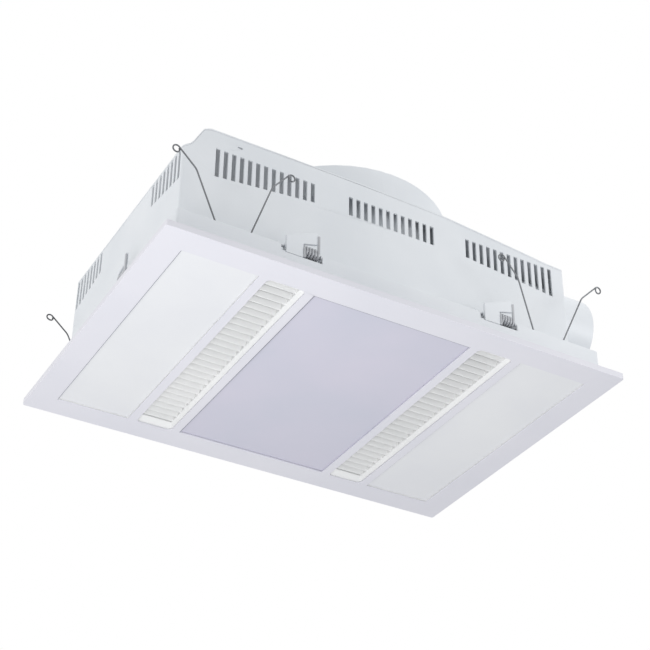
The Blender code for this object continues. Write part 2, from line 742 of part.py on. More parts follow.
# Base frame
def clamp_stations():
    """Name, pin centre and turn about Z of each clamp; its outer side is -Y before the turn."""
    side_y = FRAME_HALF_WIDTH - PIN_INSET
    end_x = FRAME_HALF_LENGTH - PIN_INSET
    return [
        ("front_left", (CLAMP_OFFSET - CLAMP_X, -side_y, PIN_HEIGHT), 0.0),
        ("front_right", (CLAMP_OFFSET + CLAMP_X, -side_y, PIN_HEIGHT), 0.0),
        ("rear_left", (-CLAMP_OFFSET - CLAMP_X, side_y, PIN_HEIGHT), math.pi),
        ("rear_right", (-CLAMP_OFFSET + CLAMP_X, side_y, PIN_HEIGHT), math.pi),
        ("end_left", (-end_x, -CLAMP_END_Y, PIN_HEIGHT), -math.pi / 2),
        ("end_right", (end_x, CLAMP_END_Y, PIN_HEIGHT), math.pi / 2),
    ]


def at_station(obj, station):
    """Turns and moves a piece that was made about its own clamp pin."""
    turn = Matrix.Rotation(station[2], 4, "Z")
    obj.matrix_basis = Matrix.Translation(station[1]) @ turn @ obj.matrix_basis
    return obj


def notch_outline():
    """A clamp's notch seen from outside, about its pin, with its left brim rounded."""
    half = NOTCH_LENGTH / 2
    top = FRAME_TOP - PIN_HEIGHT
    foot = top - 2 * NOTCH_ROUND
    brim = []
    for step in range(CORNER_STEPS + 1):
        angle = math.pi / 2 * step / CORNER_STEPS
        across = -half - NOTCH_ROUND + NOTCH_ROUND * math.cos(angle)
        brim.append((across, top - NOTCH_ROUND + NOTCH_ROUND * math.sin(angle)))
    over = top + OVERRUN
    right = [(half, foot), (half, over), (-half - NOTCH_ROUND, over)]
    return right + brim[::-1] + [(-half, foot)]


def swing_outline():
    """The round hollow for a lever's foot, seen along its pin, up to the ledge's top."""
    start = math.asin((FRAME_TOP - PIN_HEIGHT) / SWING_RADIUS)
    points = []
    for step in range(SWING_STEPS + 1):
        angle = start - (math.pi + 2 * start) * step / SWING_STEPS
        points.append((SWING_RADIUS * math.cos(angle), SWING_RADIUS * math.sin(angle)))
    return points


def make_frame():
    neck_top = FRAME_TOP + NECK_RISE
    outer = rounded(FRAME_HALF_LENGTH, FRAME_HALF_WIDTH, FRAME_CORNER)
    frame = prism("base_frame", [outer], FRAME_BOTTOM, neck_top)
    beyond = rounded(FRAME_HALF_LENGTH + OVERRUN, FRAME_HALF_WIDTH + OVERRUN, FRAME_CORNER)
    neck_outer = rounded(NECK_HALF_LENGTH, NECK_HALF_WIDTH, HOUSING_CORNER - HOUSING_WALL)
    combine(frame, prism("frame_step", [beyond, neck_outer], FRAME_TOP, neck_top + OVERRUN))
    under = inset(FRAME_HALF_LENGTH, FRAME_HALF_WIDTH, FRAME_CORNER, FRAME_WALL)
    combine(frame, prism("frame_hollow", [under], FRAME_BOTTOM - OVERRUN, FRAME_TOP - FRAME_SHELF))
    throat = rounded(NECK_HALF_LENGTH - NECK_WALL, NECK_HALF_WIDTH - NECK_WALL, WINDOW_CORNER)
    combine(frame, prism("frame_throat", [throat], FRAME_BOTTOM, neck_top + OVERRUN))
    half = NOTCH_LENGTH / 2
    for station in clamp_stations():
        low, high = -PIN_INSET - OVERRUN, NOTCH_DEPTH - PIN_INSET
        notch = prism("notch_" + station[0], [notch_outline()], low, high, "XZ")
        combine(frame, at_station(notch, station))
        swing = prism("swing_" + station[0], [swing_outline()], -half, half, "YZ")
        combine(frame, at_station(swing, station))
    for station in clamp_stations():
        cheeks = []
        for side in (-1, 1):
            edges = sorted((side * half, side * (half + CHEEK_WALL)))
            low = (edges[0], -CHEEK_FRONT, -CHEEK_DROP)
            high = (edges[1], CHEEK_BACK, CHEEK_RISE)
            cheeks.append((low, high))
        join(frame, at_station(blocks("cheeks_" + station[0], cheeks), station))
        bore_length = NOTCH_LENGTH + 2 * CHEEK_WALL - 2 * SEAT_GAP
        bore = rod("pin_bore_" + station[0], PIN_RADIUS + SEAT_GAP, bore_length, (0, 0, 0), "X")
        combine(frame, at_station(bore, station))
    reach = TORSION_SLOT_LENGTH / 2
    edge = FRAME_HALF_WIDTH - TORSION_SLOT_SKIN
    slots = []
    for _, side_y, placement in torsion_places():
        x = placement.translation.x
        edges = sorted((side_y * edge, side_y * (edge - TORSION_SLOT_WIDTH)))
        low = (x - reach, edges[0], FRAME_TOP - TORSION_SLOT_DROP)
        slots.append((low, (x + reach, edges[1], FRAME_TOP + OVERRUN)))
    combine(frame, blocks("torsion_slots", slots))
    return dress(frame, "shell")


# Housing
def roof_line(drop=0.0):
    """The roof seen from the front, from its left end to its right end, lowered by a drop."""
    left = -HOUSING_HALF_LENGTH
    points = []
    for run, rise in ROOF_STEP_SHARES:
        points.append((left + run * ROOF_STEP_RUN, LEFT_END_TOP + rise * (ROOF_TOP - LEFT_END_TOP) - drop))
    flat_end = left + ROOF_STEP_RUN + ROOF_FLAT_LENGTH
    points.append((flat_end, ROOF_TOP - drop))
    run_left = HOUSING_HALF_LENGTH - flat_end
    for run, fall in ROOF_SLOPE_SHARES:
        points.append((flat_end + run * run_left, ROOF_TOP - fall * (ROOF_TOP - RIGHT_END_TOP) - drop))
    return points


def block_under_roof(name, drop, half_width):
    """The housing's outline from the front, under a lowered roof, made solid across its width."""
    reach = HOUSING_HALF_LENGTH + OVERRUN
    line = roof_line(drop)
    foot = HOUSING_BOTTOM - OVERRUN
    outline = [(-reach, foot), (reach, foot), (reach, line[-1][1])] + line[::-1] + [(-reach, line[0][1])]
    return prism(name, [outline], -half_width, half_width, "XZ")


def wall_cut(side, half):
    """From inside a wall to beyond it, lowest first, for the wall on that side."""
    return sorted((side * (half - HOUSING_WALL - OVERRUN / 2), side * (half + OVERRUN)))


def side_slots():
    """Cutters for the three groups of slots that pass through both long walls."""
    corners = []
    start = -(len(SIDE_SLOT_COUNTS) - 1) / 2
    for group, count in enumerate(SIDE_SLOT_COUNTS):
        group_x = SLOT_GROUP_OFFSET + (start + group) * SLOT_GROUP_SPACING
        for index in range(count):
            x = group_x + (index - (count - 1) / 2) * SLOT_PITCH
            beyond = abs(x - SLOT_GROUP_OFFSET) - (SLOT_GROUP_SPACING - SLOT_PITCH * count / 2)
            share = max(0, beyond / (SLOT_PITCH * count))
            bottom = SIDE_SLOT_BOTTOM + share * (SIDE_SLOT_LOW_BOTTOM - SIDE_SLOT_BOTTOM)
            for side in (-1, 1):
                edges = wall_cut(side, HOUSING_HALF_WIDTH)
                low = (x - SLOT_WIDTH / 2, edges[0], bottom)
                high = (x + SLOT_WIDTH / 2, edges[1], SLOT_TOP)
                corners.append((low, high))
    return corners


def end_slots():
    """Cutters for the slots of the end walls; the outlet takes the place of one group."""
    corners = []
    for side_x in (-1, 1):
        for side_y in (-1, 1):
            if side_x > 0 and side_y < 0:
                continue
            edges = wall_cut(side_x, HOUSING_HALF_LENGTH)
            for index in range(END_SLOT_COUNT):
                y = side_y * (HOUSING_HALF_WIDTH - END_SLOT_EDGE - index * SLOT_PITCH)
                share = index / (END_SLOT_COUNT - 1)
                bottom = END_SLOT_LOW_BOTTOM + share * (END_SLOT_BOTTOM - END_SLOT_LOW_BOTTOM)
                low = (edges[0], y - SLOT_WIDTH / 2, bottom)
                high = (edges[1], y + SLOT_WIDTH / 2, END_SLOT_TOP)
                corners.append((low, high))
    return corners


def make_housing():
    footprint = rounded(HOUSING_HALF_LENGTH, HOUSING_HALF_WIDTH, HOUSING_CORNER)
    inner = inset(HOUSING_HALF_LENGTH, HOUSING_HALF_WIDTH, HOUSING_CORNER, HOUSING_WALL)
    shell = prism("housing_shell", [footprint, inner], HOUSING_BOTTOM, ROOF_TOP)
    trim_width = HOUSING_HALF_WIDTH + OVERRUN
    combine(shell, block_under_roof("shell_trim", HOUSING_WALL + SEAT_GAP, trim_width), "INTERSECT")
    combine(shell, blocks("side_slots", side_slots()))
    combine(shell, blocks("end_slots", end_slots()))
    hole_radius = OUTLET_RADIUS + OUTLET_HOLE_CLEARANCE
    centre = (HOUSING_HALF_LENGTH, OUTLET_Y, OUTLET_Z)
    combine(shell, rod("outlet_hole", hole_radius, 2 * (HOUSING_WALL + OVERRUN), centre, "X", ROUND_STEPS))
    centre = (HOUSING_HALF_LENGTH, TERMINAL_Y, TERMINAL_Z)
    hole_radius = GLAND_RADIUS + GLAND_CLEARANCE
    combine(shell, rod("gland_hole", hole_radius, 2 * (HOUSING_WALL + OVERRUN), centre, "X"))
    snaps = []
    for side in (-1, 1):
        edges = wall_cut(side, HOUSING_HALF_WIDTH)
        low = (SNAP_X - SNAP_SLOT_LENGTH / 2, edges[0], SNAP_SLOT_Z - SNAP_SLOT_HEIGHT / 2)
        high = (SNAP_X + SNAP_SLOT_LENGTH / 2, edges[1], SNAP_SLOT_Z + SNAP_SLOT_HEIGHT / 2)
        snaps.append((low, high))
    combine(shell, blocks("snap_slots", snaps))
    dress(shell, "shell")

    lid = prism("housing_lid", [footprint], LEFT_END_TOP - 2 * HOUSING_WALL, ROOF_TOP + OVERRUN)
    combine(lid, block_under_roof("lid_top", 0.0, trim_width), "INTERSECT")
    combine(lid, block_under_roof("lid_underside", HOUSING_WALL, trim_width + OVERRUN))
    hole_length = 2 * (ROOF_TOP - LEFT_END_TOP)
    centre = (FAN_X, 0, ROOF_TOP)
    combine(lid, rod("lid_hole", FAN_RADIUS + LID_CLEARANCE, hole_length, centre, "Z", ROUND_STEPS))
    dress(lid, "shell")


# Torsion springs and their brackets
def torsion_places():
    """Name, side and placement of each spring; a rear one is a front one turned half about Z."""
    ends = (
        ("left", "right", TORSION_LEFT_MARGIN - FRAME_HALF_LENGTH, TORSION_LEFT_LEAN, TORSION_LEFT_TILT),
        ("right", "left", FRAME_HALF_LENGTH - TORSION_RIGHT_MARGIN, TORSION_RIGHT_LEAN, TORSION_RIGHT_TILT),
    )
    places = []
    for front_end, rear_end, x, lean, tilt in ends:
        slope = Matrix.Rotation(tilt, 4, "X") @ Matrix.Rotation(lean, 4, "Y")
        placement = Matrix.Translation((x, -TORSION_Y, TORSION_COIL_Z)) @ slope
        places.append(("front_" + front_end, -1, placement))
        places.append(("rear_" + rear_end, 1, Matrix.Rotation(math.pi, 4, "Z") @ placement))
    return places


def torsion_points():
    """The wire of one torsion spring about its coil's centre: tip loop, arm, coil, arm, tip loop."""
    down_arm = torsion_arm(-1)[::-1]
    up_arm = torsion_arm(1)
    coil = []
    steps = round(COIL_STEPS * TORSION_SWEEP / (2 * math.pi))
    for step in range(1, steps):
        share = step / steps
        angle = math.pi + TORSION_ARM_ANGLE + share * TORSION_SWEEP
        y = TORSION_COIL_LENGTH / 2 - TORSION_COIL_LENGTH * share
        coil.append((TORSION_COIL_RADIUS * math.cos(angle), y, TORSION_COIL_RADIUS * math.sin(angle)))
    return down_arm + coil + up_arm


def torsion_arm(side):
    """One arm from its coil to its tip loop, on the +X side for side 1."""
    y = -side * TORSION_COIL_LENGTH / 2
    lean, tip = TORSION_ARM_ANGLE, TORSION_TIP_ANGLE
    points = [(TORSION_COIL_RADIUS * math.cos(lean), -TORSION_COIL_RADIUS * math.sin(lean))]
    along = Vector((math.sin(lean), math.cos(lean)))
    corner = Vector(points[0]) + TORSION_ARM * along
    points.append(tuple(corner - TORSION_BEND_RADIUS * along))
    out = Vector((math.sin(tip), math.cos(tip)))
    points.append(tuple(corner))
    points.append(tuple(corner + TORSION_BEND_RADIUS * out))
    end = corner + TORSION_TIP * out
    centre = end + TORSION_LOOP_RADIUS * Vector((math.cos(tip), -math.sin(tip)))
    steps = round(COIL_STEPS * TORSION_LOOP_SWEEP / (2 * math.pi))
    for step in range(steps + 1):
        angle = math.pi - tip - TORSION_LOOP_SWEEP * step / steps
        points.append(tuple(centre + TORSION_LOOP_RADIUS * Vector((math.cos(angle), math.sin(angle)))))
    return [(side * x, y, z) for x, z in points]


def make_torsion_springs():
    points = torsion_points()
    print("torsion spring, least gap to itself: %.2f mm" % (1000 * least_gap(points, TORSION_WIRE)))
    for name, side_y, placement in torsion_places():
        spring = wire("torsion_spring_" + name, points, TORSION_WIRE)
        spring.matrix_world = placement
        dress_curve(spring)
        make_bracket("spring_bracket_" + name, placement.translation.x, side_y)


def dress_curve(obj):
    obj.data.materials.append(FINISHES["spring"])


def make_bracket(name, x, side_y):
    """A bent bracket that stands on the fascia outside the coil, with a post through it."""
    half = BRACKET_WIDTH / 2
    inner, outer = BRACKET_FACE_Y, BRACKET_FACE_Y + BRACKET_SHEET
    foot_end = WINDOW_HALF_WIDTH + PANE_LAP + SEAT_GAP
    foot_top = PANE_Z + BRACKET_SHEET
    profile = [
        (foot_end, PANE_Z),
        (outer, PANE_Z),
        (outer, BRACKET_TOP),
        (inner, BRACKET_TOP),
        (inner, foot_top),
        (foot_end, foot_top),
    ]
    bracket = prism(name, [mirrored(profile, side_y)], x - half, x + half, "YZ")
    post_end = TORSION_Y - TORSION_COIL_LENGTH / 2 - BRACKET_POST_OVERHANG
    length = inner + BRACKET_SHEET / 2 - post_end
    middle = side_y * (post_end + length / 2)
    join(bracket, rod(name + "_post", BRACKET_POST_RADIUS, length, (x, middle, TORSION_COIL_Z), "Y"))
    return dress(bracket, "zinc")


# Ceiling clamps
def make_lever(name, station):
    half = LEVER_LENGTH / 2
    bay = half - LEVER_BAY_LENGTH
    outline = [
        (-half, -LEVER_FOOT),
        (bay, -LEVER_FOOT),
        (bay, LEVER_BAY_HEIGHT),
        (half, LEVER_BAY_HEIGHT + LEVER_BAY_RISE),
        (half, LEVER_HIGH_TOP),
        (half - LEVER_THICKNESS, LEVER_HIGH_TOP),
        (-half, LEVER_LOW_TOP),
    ]
    lever = prism(name, [outline], -PIN_INSET, -PIN_INSET + LEVER_THICKNESS, "XZ")
    low, high = -half + BARREL_END_INSET, bay - BARREL_END_INSET
    join(lever, rod(name + "_barrel", BARREL_RADIUS, high - low, ((low + high) / 2, 0, 0), "X"))
    web_low = (low + BARREL_END_INSET, -PIN_INSET + LEVER_THICKNESS / 2, -BARREL_RADIUS / 2)
    web_high = (high - BARREL_END_INSET, 0, BARREL_RADIUS / 2)
    join(lever, blocks(name + "_web", [(web_low, web_high)]))
    combine(lever, rod(name + "_bore", PIN_RADIUS + SEAT_GAP, LEVER_LENGTH + OVERRUN, (low, 0, 0), "X"))
    for modifier in lever.modifiers:
        at_station(modifier.object, station)
    at_station(lever, station)
    return dress(lever, "shell")


def clamp_spring_points():
    """A torsion spring about the clamp pin: one leg up beside the lever, one down to the notch's floor."""
    half = LEVER_LENGTH / 2
    start = half - LEVER_BAY_LENGTH + CLAMP_COIL_CLEARANCE + CLAMP_WIRE / 2
    end = half + CLAMP_COIL_CLEARANCE + CLAMP_WIRE / 2
    steps = CLAMP_TURNS * CLAMP_COIL_STEPS
    foot = 2 * SEAT_GAP - math.sqrt(SWING_RADIUS**2 - (CLAMP_COIL_RADIUS + CLAMP_WIRE / 2) ** 2)
    points = [(start, -CLAMP_COIL_RADIUS, foot)]
    for step in range(steps + 1):
        angle = math.pi - 2 * math.pi * CLAMP_TURNS * step / steps
        x = start + (end - start) * step / steps
        points.append((x, CLAMP_COIL_RADIUS * math.cos(angle), CLAMP_COIL_RADIUS * math.sin(angle)))
    points.append((end, -CLAMP_COIL_RADIUS, CLAMP_LEG_REACH))
    return points


def make_clamps():
    points = clamp_spring_points()
    print("clamp spring, least gap to itself: %.2f mm" % (1000 * least_gap(points, CLAMP_WIRE)))
    pin_length = NOTCH_LENGTH + 2 * CHEEK_WALL - 4 * SEAT_GAP
    for station in clamp_stations():
        make_lever("clamp_lever_" + station[0], station)
        spring = wire("clamp_spring_" + station[0], points, CLAMP_WIRE)
        at_station(spring, station)
        dress_curve(spring)
        pin = rod("clamp_pin_" + station[0], PIN_RADIUS, pin_length, (0, 0, 0), "X", SMALL_ROUND_STEPS)
        dress(at_station(pin, station), "zinc", smooth=True)


# Heaters
def make_heater(side_name, side):
    shelf_under = FRAME_TOP - FRAME_SHELF
    inner = HEATER_INNER_X - PANE_LAP
    outer = NECK_HALF_LENGTH - NECK_WALL - SEAT_GAP
    half_y = NECK_HALF_WIDTH - NECK_WALL - REFLECTOR_END_GAP
    outline = [
        (inner, REFLECTOR_LIP),
        (outer, REFLECTOR_LIP),
        (outer, REFLECTOR_SHOULDER),
        (outer - REFLECTOR_CROWN_INSET, REFLECTOR_TOP),
        (inner + REFLECTOR_CROWN_INSET, REFLECTOR_TOP),
        (inner, REFLECTOR_SHOULDER),
    ]
    sheet = REFLECTOR_SHEET
    inside = [
        (inner + sheet, REFLECTOR_LIP - OVERRUN),
        (outer - sheet, REFLECTOR_LIP - OVERRUN),
        (outer - sheet, REFLECTOR_SHOULDER - sheet / 2),
        (outer - REFLECTOR_CROWN_INSET - sheet / 2, REFLECTOR_TOP - sheet),
        (inner + REFLECTOR_CROWN_INSET + sheet / 2, REFLECTOR_TOP - sheet),
        (inner + sheet, REFLECTOR_SHOULDER - sheet / 2),
    ]
    name = "reflector_" + side_name
    tray = prism(name, [mirrored(outline, side)], -half_y, half_y, "XZ")
    flange_high = shelf_under - SEAT_GAP
    flange = sorted((side * (outer - sheet / 2), side * (outer + REFLECTOR_FLANGE)))
    flange_half = half_y - sheet
    flange_from = (flange[0], -flange_half, flange_high - sheet)
    flange_to = (flange[1], flange_half, flange_high)
    join(tray, blocks(name + "_flange", [(flange_from, flange_to)]))
    combine(tray, prism(name + "_inside", [mirrored(inside, side)], -flange_half, flange_half, "XZ"))
    middle = side * (inner + outer) / 2
    through = 2 * half_y + OVERRUN
    combine(tray, rod(name + "_tube_holes", TUBE_HOLE_RADIUS, through, (middle, 0, TUBE_Z), "Y"))
    dress(tray, "bright")

    tube_half = half_y + SEAT_GAP + TUBE_ENTRY
    tube = rod("heating_tube_" + side_name, TUBE_RADIUS, 2 * tube_half, (middle, 0, TUBE_Z), "Y")
    dress(tube, "quartz", smooth=True)
    for row_name, side_y in (("front", -1), ("rear", 1)):
        holder_y = side_y * (half_y + SEAT_GAP + HOLDER_LENGTH / 2)
        size = (HOLDER_WIDTH, HOLDER_LENGTH, HOLDER_WIDTH)
        name = "tube_holder_" + row_name + "_" + side_name
        holder = soft_box(name, size, (middle, holder_y, TUBE_Z), HOLDER_EDGE, 1)
        bore_half = half_y + SEAT_GAP + TUBE_ENTRY + SEAT_GAP
        bore_low = half_y - OVERRUN
        centre = (middle, side_y * (bore_half + bore_low) / 2, TUBE_Z)
        bore = rod(name + "_bore", TUBE_RADIUS + SEAT_GAP, bore_half - bore_low, centre, "Y")
        combine(holder, bore)
        dress(holder, "ceramic")


# Fan housing
def make_fan_housing():
    """A round pot with an inlet below and a round duct that leaves it on a tangent."""
    pot = turned(
        "fan_housing",
        [
            (0, FAN_TOP),
            (FAN_RADIUS - FAN_EDGE, FAN_TOP),
            (FAN_RADIUS - FAN_EDGE * FAN_EDGE_SHARE, FAN_TOP - FAN_EDGE * FAN_EDGE_SHARE),
            (FAN_RADIUS, FAN_TOP - FAN_EDGE),
            (FAN_RADIUS, FAN_BOTTOM),
            (0, FAN_BOTTOM),
        ],
        (FAN_X, 0, 0),
        closed=False,
    )
    duct_end = HOUSING_HALF_LENGTH - HOUSING_WALL - OUTLET_FLANGE - 2 * SEAT_GAP
    duct_length = duct_end - FAN_X
    duct_x = (duct_end + FAN_X) / 2
    centre = (duct_x, OUTLET_Y, OUTLET_Z)
    join(pot, rod("fan_duct", OUTLET_RADIUS, duct_length, centre, "X", HIDDEN_ROUND_STEPS))
    ears = []
    for side_x in (-1, 1):
        for side_y in (-1, 1):
            x = FAN_X + side_x * EAR_OFFSET
            wall = HOUSING_HALF_WIDTH - HOUSING_WALL - SEAT_GAP
            root = math.sqrt(FAN_RADIUS**2 - EAR_OFFSET**2) - EAR_WIDTH / 2
            edges = sorted((side_y * root, side_y * wall))
            low = (x - EAR_WIDTH / 2, edges[0], FAN_BOTTOM + EAR_LIFT)
            high = (x + EAR_WIDTH / 2, edges[1], FAN_BOTTOM + EAR_LIFT + EAR_HEIGHT)
            ears.append((low, high))
    join(pot, blocks("fan_ears", ears))
    hollow_height = FAN_TOP - FAN_BOTTOM - 2 * FAN_WALL
    centre = (FAN_X, 0, (FAN_TOP + FAN_BOTTOM) / 2)
    combine(pot, rod("fan_hollow", FAN_RADIUS - FAN_WALL, hollow_height, centre, "Z", HIDDEN_ROUND_STEPS))
    bore_length = duct_length + OVERRUN
    bore_radius = OUTLET_RADIUS - OUTLET_WALL
    centre = (duct_x + OVERRUN / 2, OUTLET_Y, OUTLET_Z)
    combine(pot, rod("fan_duct_bore", bore_radius, bore_length, centre, "X", HIDDEN_ROUND_STEPS))
    inlet = rod("fan_inlet", INLET_RADIUS, 2 * OVERRUN, (FAN_X, 0, FAN_BOTTOM), "Z", HIDDEN_ROUND_STEPS)
    combine(pot, inlet)
    return dress(pot, "shell")


def make_inlet_ring():
    """A bell mouth that hangs under the pot and reaches up to the impeller."""
    top = FAN_BOTTOM - SEAT_GAP
    mouth = INLET_RADIUS - INLET_CLEARANCE
    throat = INLET_THROAT_RADIUS
    profile = [
        (mouth - INLET_SHEET, INLET_THROAT_TOP),
        (mouth, INLET_THROAT_TOP - INLET_SHEET),
        (mouth, top),
        (INLET_FLANGE_RADIUS, top),
        (INLET_FLANGE_RADIUS, top - INLET_SHEET),
        (mouth, top - INLET_SHEET),
        (throat, top + INLET_SHEET),
        (throat, INLET_THROAT_TOP),
    ]
    ring = turned("inlet_ring", profile, (FAN_X, 0, 0), steps=HIDDEN_ROUND_STEPS)
    return dress(ring, "grille")


# Impeller, shaft and motor
def blade_outlines():
    """One bowed outline for each blade, near the impeller's edge."""
    outlines = []
    for index in range(BLADE_COUNT):
        turn = 2 * math.pi * index / BLADE_COUNT
        root = Vector((IMPELLER_RADIUS - BLADE_DEPTH, 0))
        along = Vector((math.cos(BLADE_LEAN), math.sin(BLADE_LEAN)))
        across = Vector((-math.sin(BLADE_LEAN), math.cos(BLADE_LEAN)))
        near, far = [], []
        for step in range(BLADE_STEPS + 1):
            share = step / BLADE_STEPS
            bow = BLADE_BOW * 4 * share * (1 - share)
            spine = root + along * BLADE_DEPTH * share + across * bow
            near.append(spine + across * BLADE_SHEET / 2)
            far.append(spine - across * BLADE_SHEET / 2)
        spin = Matrix.Rotation(turn, 2)
        outlines.append([tuple(spin @ point) for point in near + far[::-1]])
    return outlines


def make_impeller():
    back_low = IMPELLER_TOP - IMPELLER_SHEET
    rim = IMPELLER_RADIUS + BLADE_SHEET
    profile = [
        (HUB_RADIUS, IMPELLER_TOP + HUB_RISE),
        (HUB_RADIUS, IMPELLER_TOP),
        (rim, IMPELLER_TOP),
        (rim, back_low),
        (HUB_RADIUS, back_low),
        (HUB_RADIUS, back_low - HUB_DROP),
        (SHAFT_RADIUS + SHAFT_CLEARANCE, back_low - HUB_DROP),
        (SHAFT_RADIUS + SHAFT_CLEARANCE, IMPELLER_TOP + HUB_RISE),
    ]
    wheel = turned("impeller", profile, (FAN_X, 0, 0), steps=HIDDEN_ROUND_STEPS)
    bite = IMPELLER_SHEET / 2
    blades = prism("impeller_blades", blade_outlines(), IMPELLER_BOTTOM + bite, back_low + bite)
    blades.location.x += FAN_X
    join(wheel, blades)
    inner = rim - IMPELLER_RING_WIDTH
    low = IMPELLER_BOTTOM
    ring_profile = [(rim, low + IMPELLER_SHEET), (rim, low), (inner, low), (inner, low + IMPELLER_SHEET)]
    join(wheel, turned("impeller_ring", ring_profile, (FAN_X, 0, 0), steps=HIDDEN_ROUND_STEPS))
    dress(wheel, "black")

    low = IMPELLER_TOP - IMPELLER_SHEET - HUB_DROP - SHAFT_NOSE
    high = MOTOR_BOTTOM + SHAFT_ENTRY
    shaft = rod("fan_shaft", SHAFT_RADIUS, high - low, (FAN_X, 0, (high + low) / 2))
    dress(shaft, "zinc", smooth=True)


def make_motor():
    bore = SHAFT_RADIUS + SHAFT_CLEARANCE
    bore_top = MOTOR_BOTTOM + SHAFT_ENTRY + SHAFT_CLEARANCE
    bearing_low = MOTOR_BOTTOM - MOTOR_BEARING_DROP
    profile = [
        (0, MOTOR_TOP),
        (MOTOR_RADIUS - MOTOR_EDGE, MOTOR_TOP),
        (MOTOR_RADIUS, MOTOR_TOP - MOTOR_EDGE),
        (MOTOR_RADIUS, MOTOR_BOTTOM + MOTOR_EDGE),
        (MOTOR_RADIUS - MOTOR_EDGE, MOTOR_BOTTOM),
        (MOTOR_BEARING_RADIUS, MOTOR_BOTTOM),
        (MOTOR_BEARING_RADIUS, bearing_low),
        (bore, bearing_low),
        (bore, bore_top),
        (0, bore_top),
    ]
    motor = turned("fan_motor", profile, (FAN_X, 0, 0), steps=HIDDEN_ROUND_STEPS, closed=False)
    dress(motor, "zinc")

    low = MOTOR_TOP + SEAT_GAP
    centre = (FAN_X, 0, low + BRACKET_PLATE / 2)
    plate = rod("motor_bracket", BRACKET_PLATE_RADIUS, BRACKET_PLATE, centre, "Z", HIDDEN_ROUND_STEPS)
    high = FAN_TOP - FAN_WALL - SEAT_GAP
    foot = low + BRACKET_PLATE / 2
    posts = []
    for quarter in range(4):
        angle = math.pi / 4 + quarter * math.pi / 2
        x = FAN_X + BRACKET_POST_CIRCLE * math.cos(angle)
        y = BRACKET_POST_CIRCLE * math.sin(angle)
        reach = BRACKET_POST_SIZE
        posts.append(((x - reach, y - reach, foot), (x + reach, y + reach, high)))
    join(plate, blocks("motor_bracket_posts", posts))
    dress(plate, "zinc")


# Outlet spigot and damper
def make_outlet():
    """A spigot from inside the end wall, which takes a round duct."""
    inner_face = HOUSING_HALF_LENGTH - HOUSING_WALL - SEAT_GAP - OUTLET_FLANGE
    tip = HOUSING_HALF_LENGTH + OUTLET_REACH
    bore = OUTLET_RADIUS - OUTLET_WALL
    profile = [
        (OUTLET_RADIUS, tip),
        (OUTLET_RADIUS, inner_face + OUTLET_FLANGE),
        (OUTLET_FLANGE_RADIUS, inner_face + OUTLET_FLANGE),
        (OUTLET_FLANGE_RADIUS, inner_face),
        (bore, inner_face),
        (bore, tip),
    ]
    spigot = turned("outlet_spigot", profile, (0, OUTLET_Y, OUTLET_Z), "X")
    pin_x = HOUSING_HALF_LENGTH + DAMPER_SETBACK
    pin_z = OUTLET_Z + DAMPER_PIN_RISE
    hole_rise = DAMPER_PIN_RISE + DAMPER_PIN_RADIUS + SEAT_GAP
    hole_half = math.sqrt(OUTLET_RADIUS**2 - hole_rise**2) - DAMPER_PIN_SKIN
    hole_length = 2 * hole_half
    pin_half = hole_half - SEAT_GAP
    hole = rod("damper_pin_holes", DAMPER_PIN_RADIUS + SEAT_GAP, hole_length, (pin_x, OUTLET_Y, pin_z), "Y")
    combine(spigot, hole)
    dress(spigot, "shell")

    pin = rod("damper_pin", DAMPER_PIN_RADIUS, 2 * pin_half, (pin_x, OUTLET_Y, pin_z), "Y")
    dress(pin, "zinc", smooth=True)

    centre = (pin_x, OUTLET_Y, OUTLET_Z)
    flap = rod("damper_flap", DAMPER_RADIUS, DAMPER_SHEET, centre, "X", HIDDEN_ROUND_STEPS)
    barrel_half = math.sqrt(bore**2 - DAMPER_PIN_RISE**2) - DAMPER_BARREL_INSET
    barrel = rod("damper_barrel", DAMPER_BARREL_RADIUS, 2 * barrel_half, (pin_x, OUTLET_Y, pin_z), "Y")
    join(flap, barrel)
    bore_hole = rod("damper_bore", DAMPER_PIN_RADIUS + SEAT_GAP, hole_length, (pin_x, OUTLET_Y, pin_z), "Y")
    combine(flap, bore_hole)
    dress(flap, "grille")


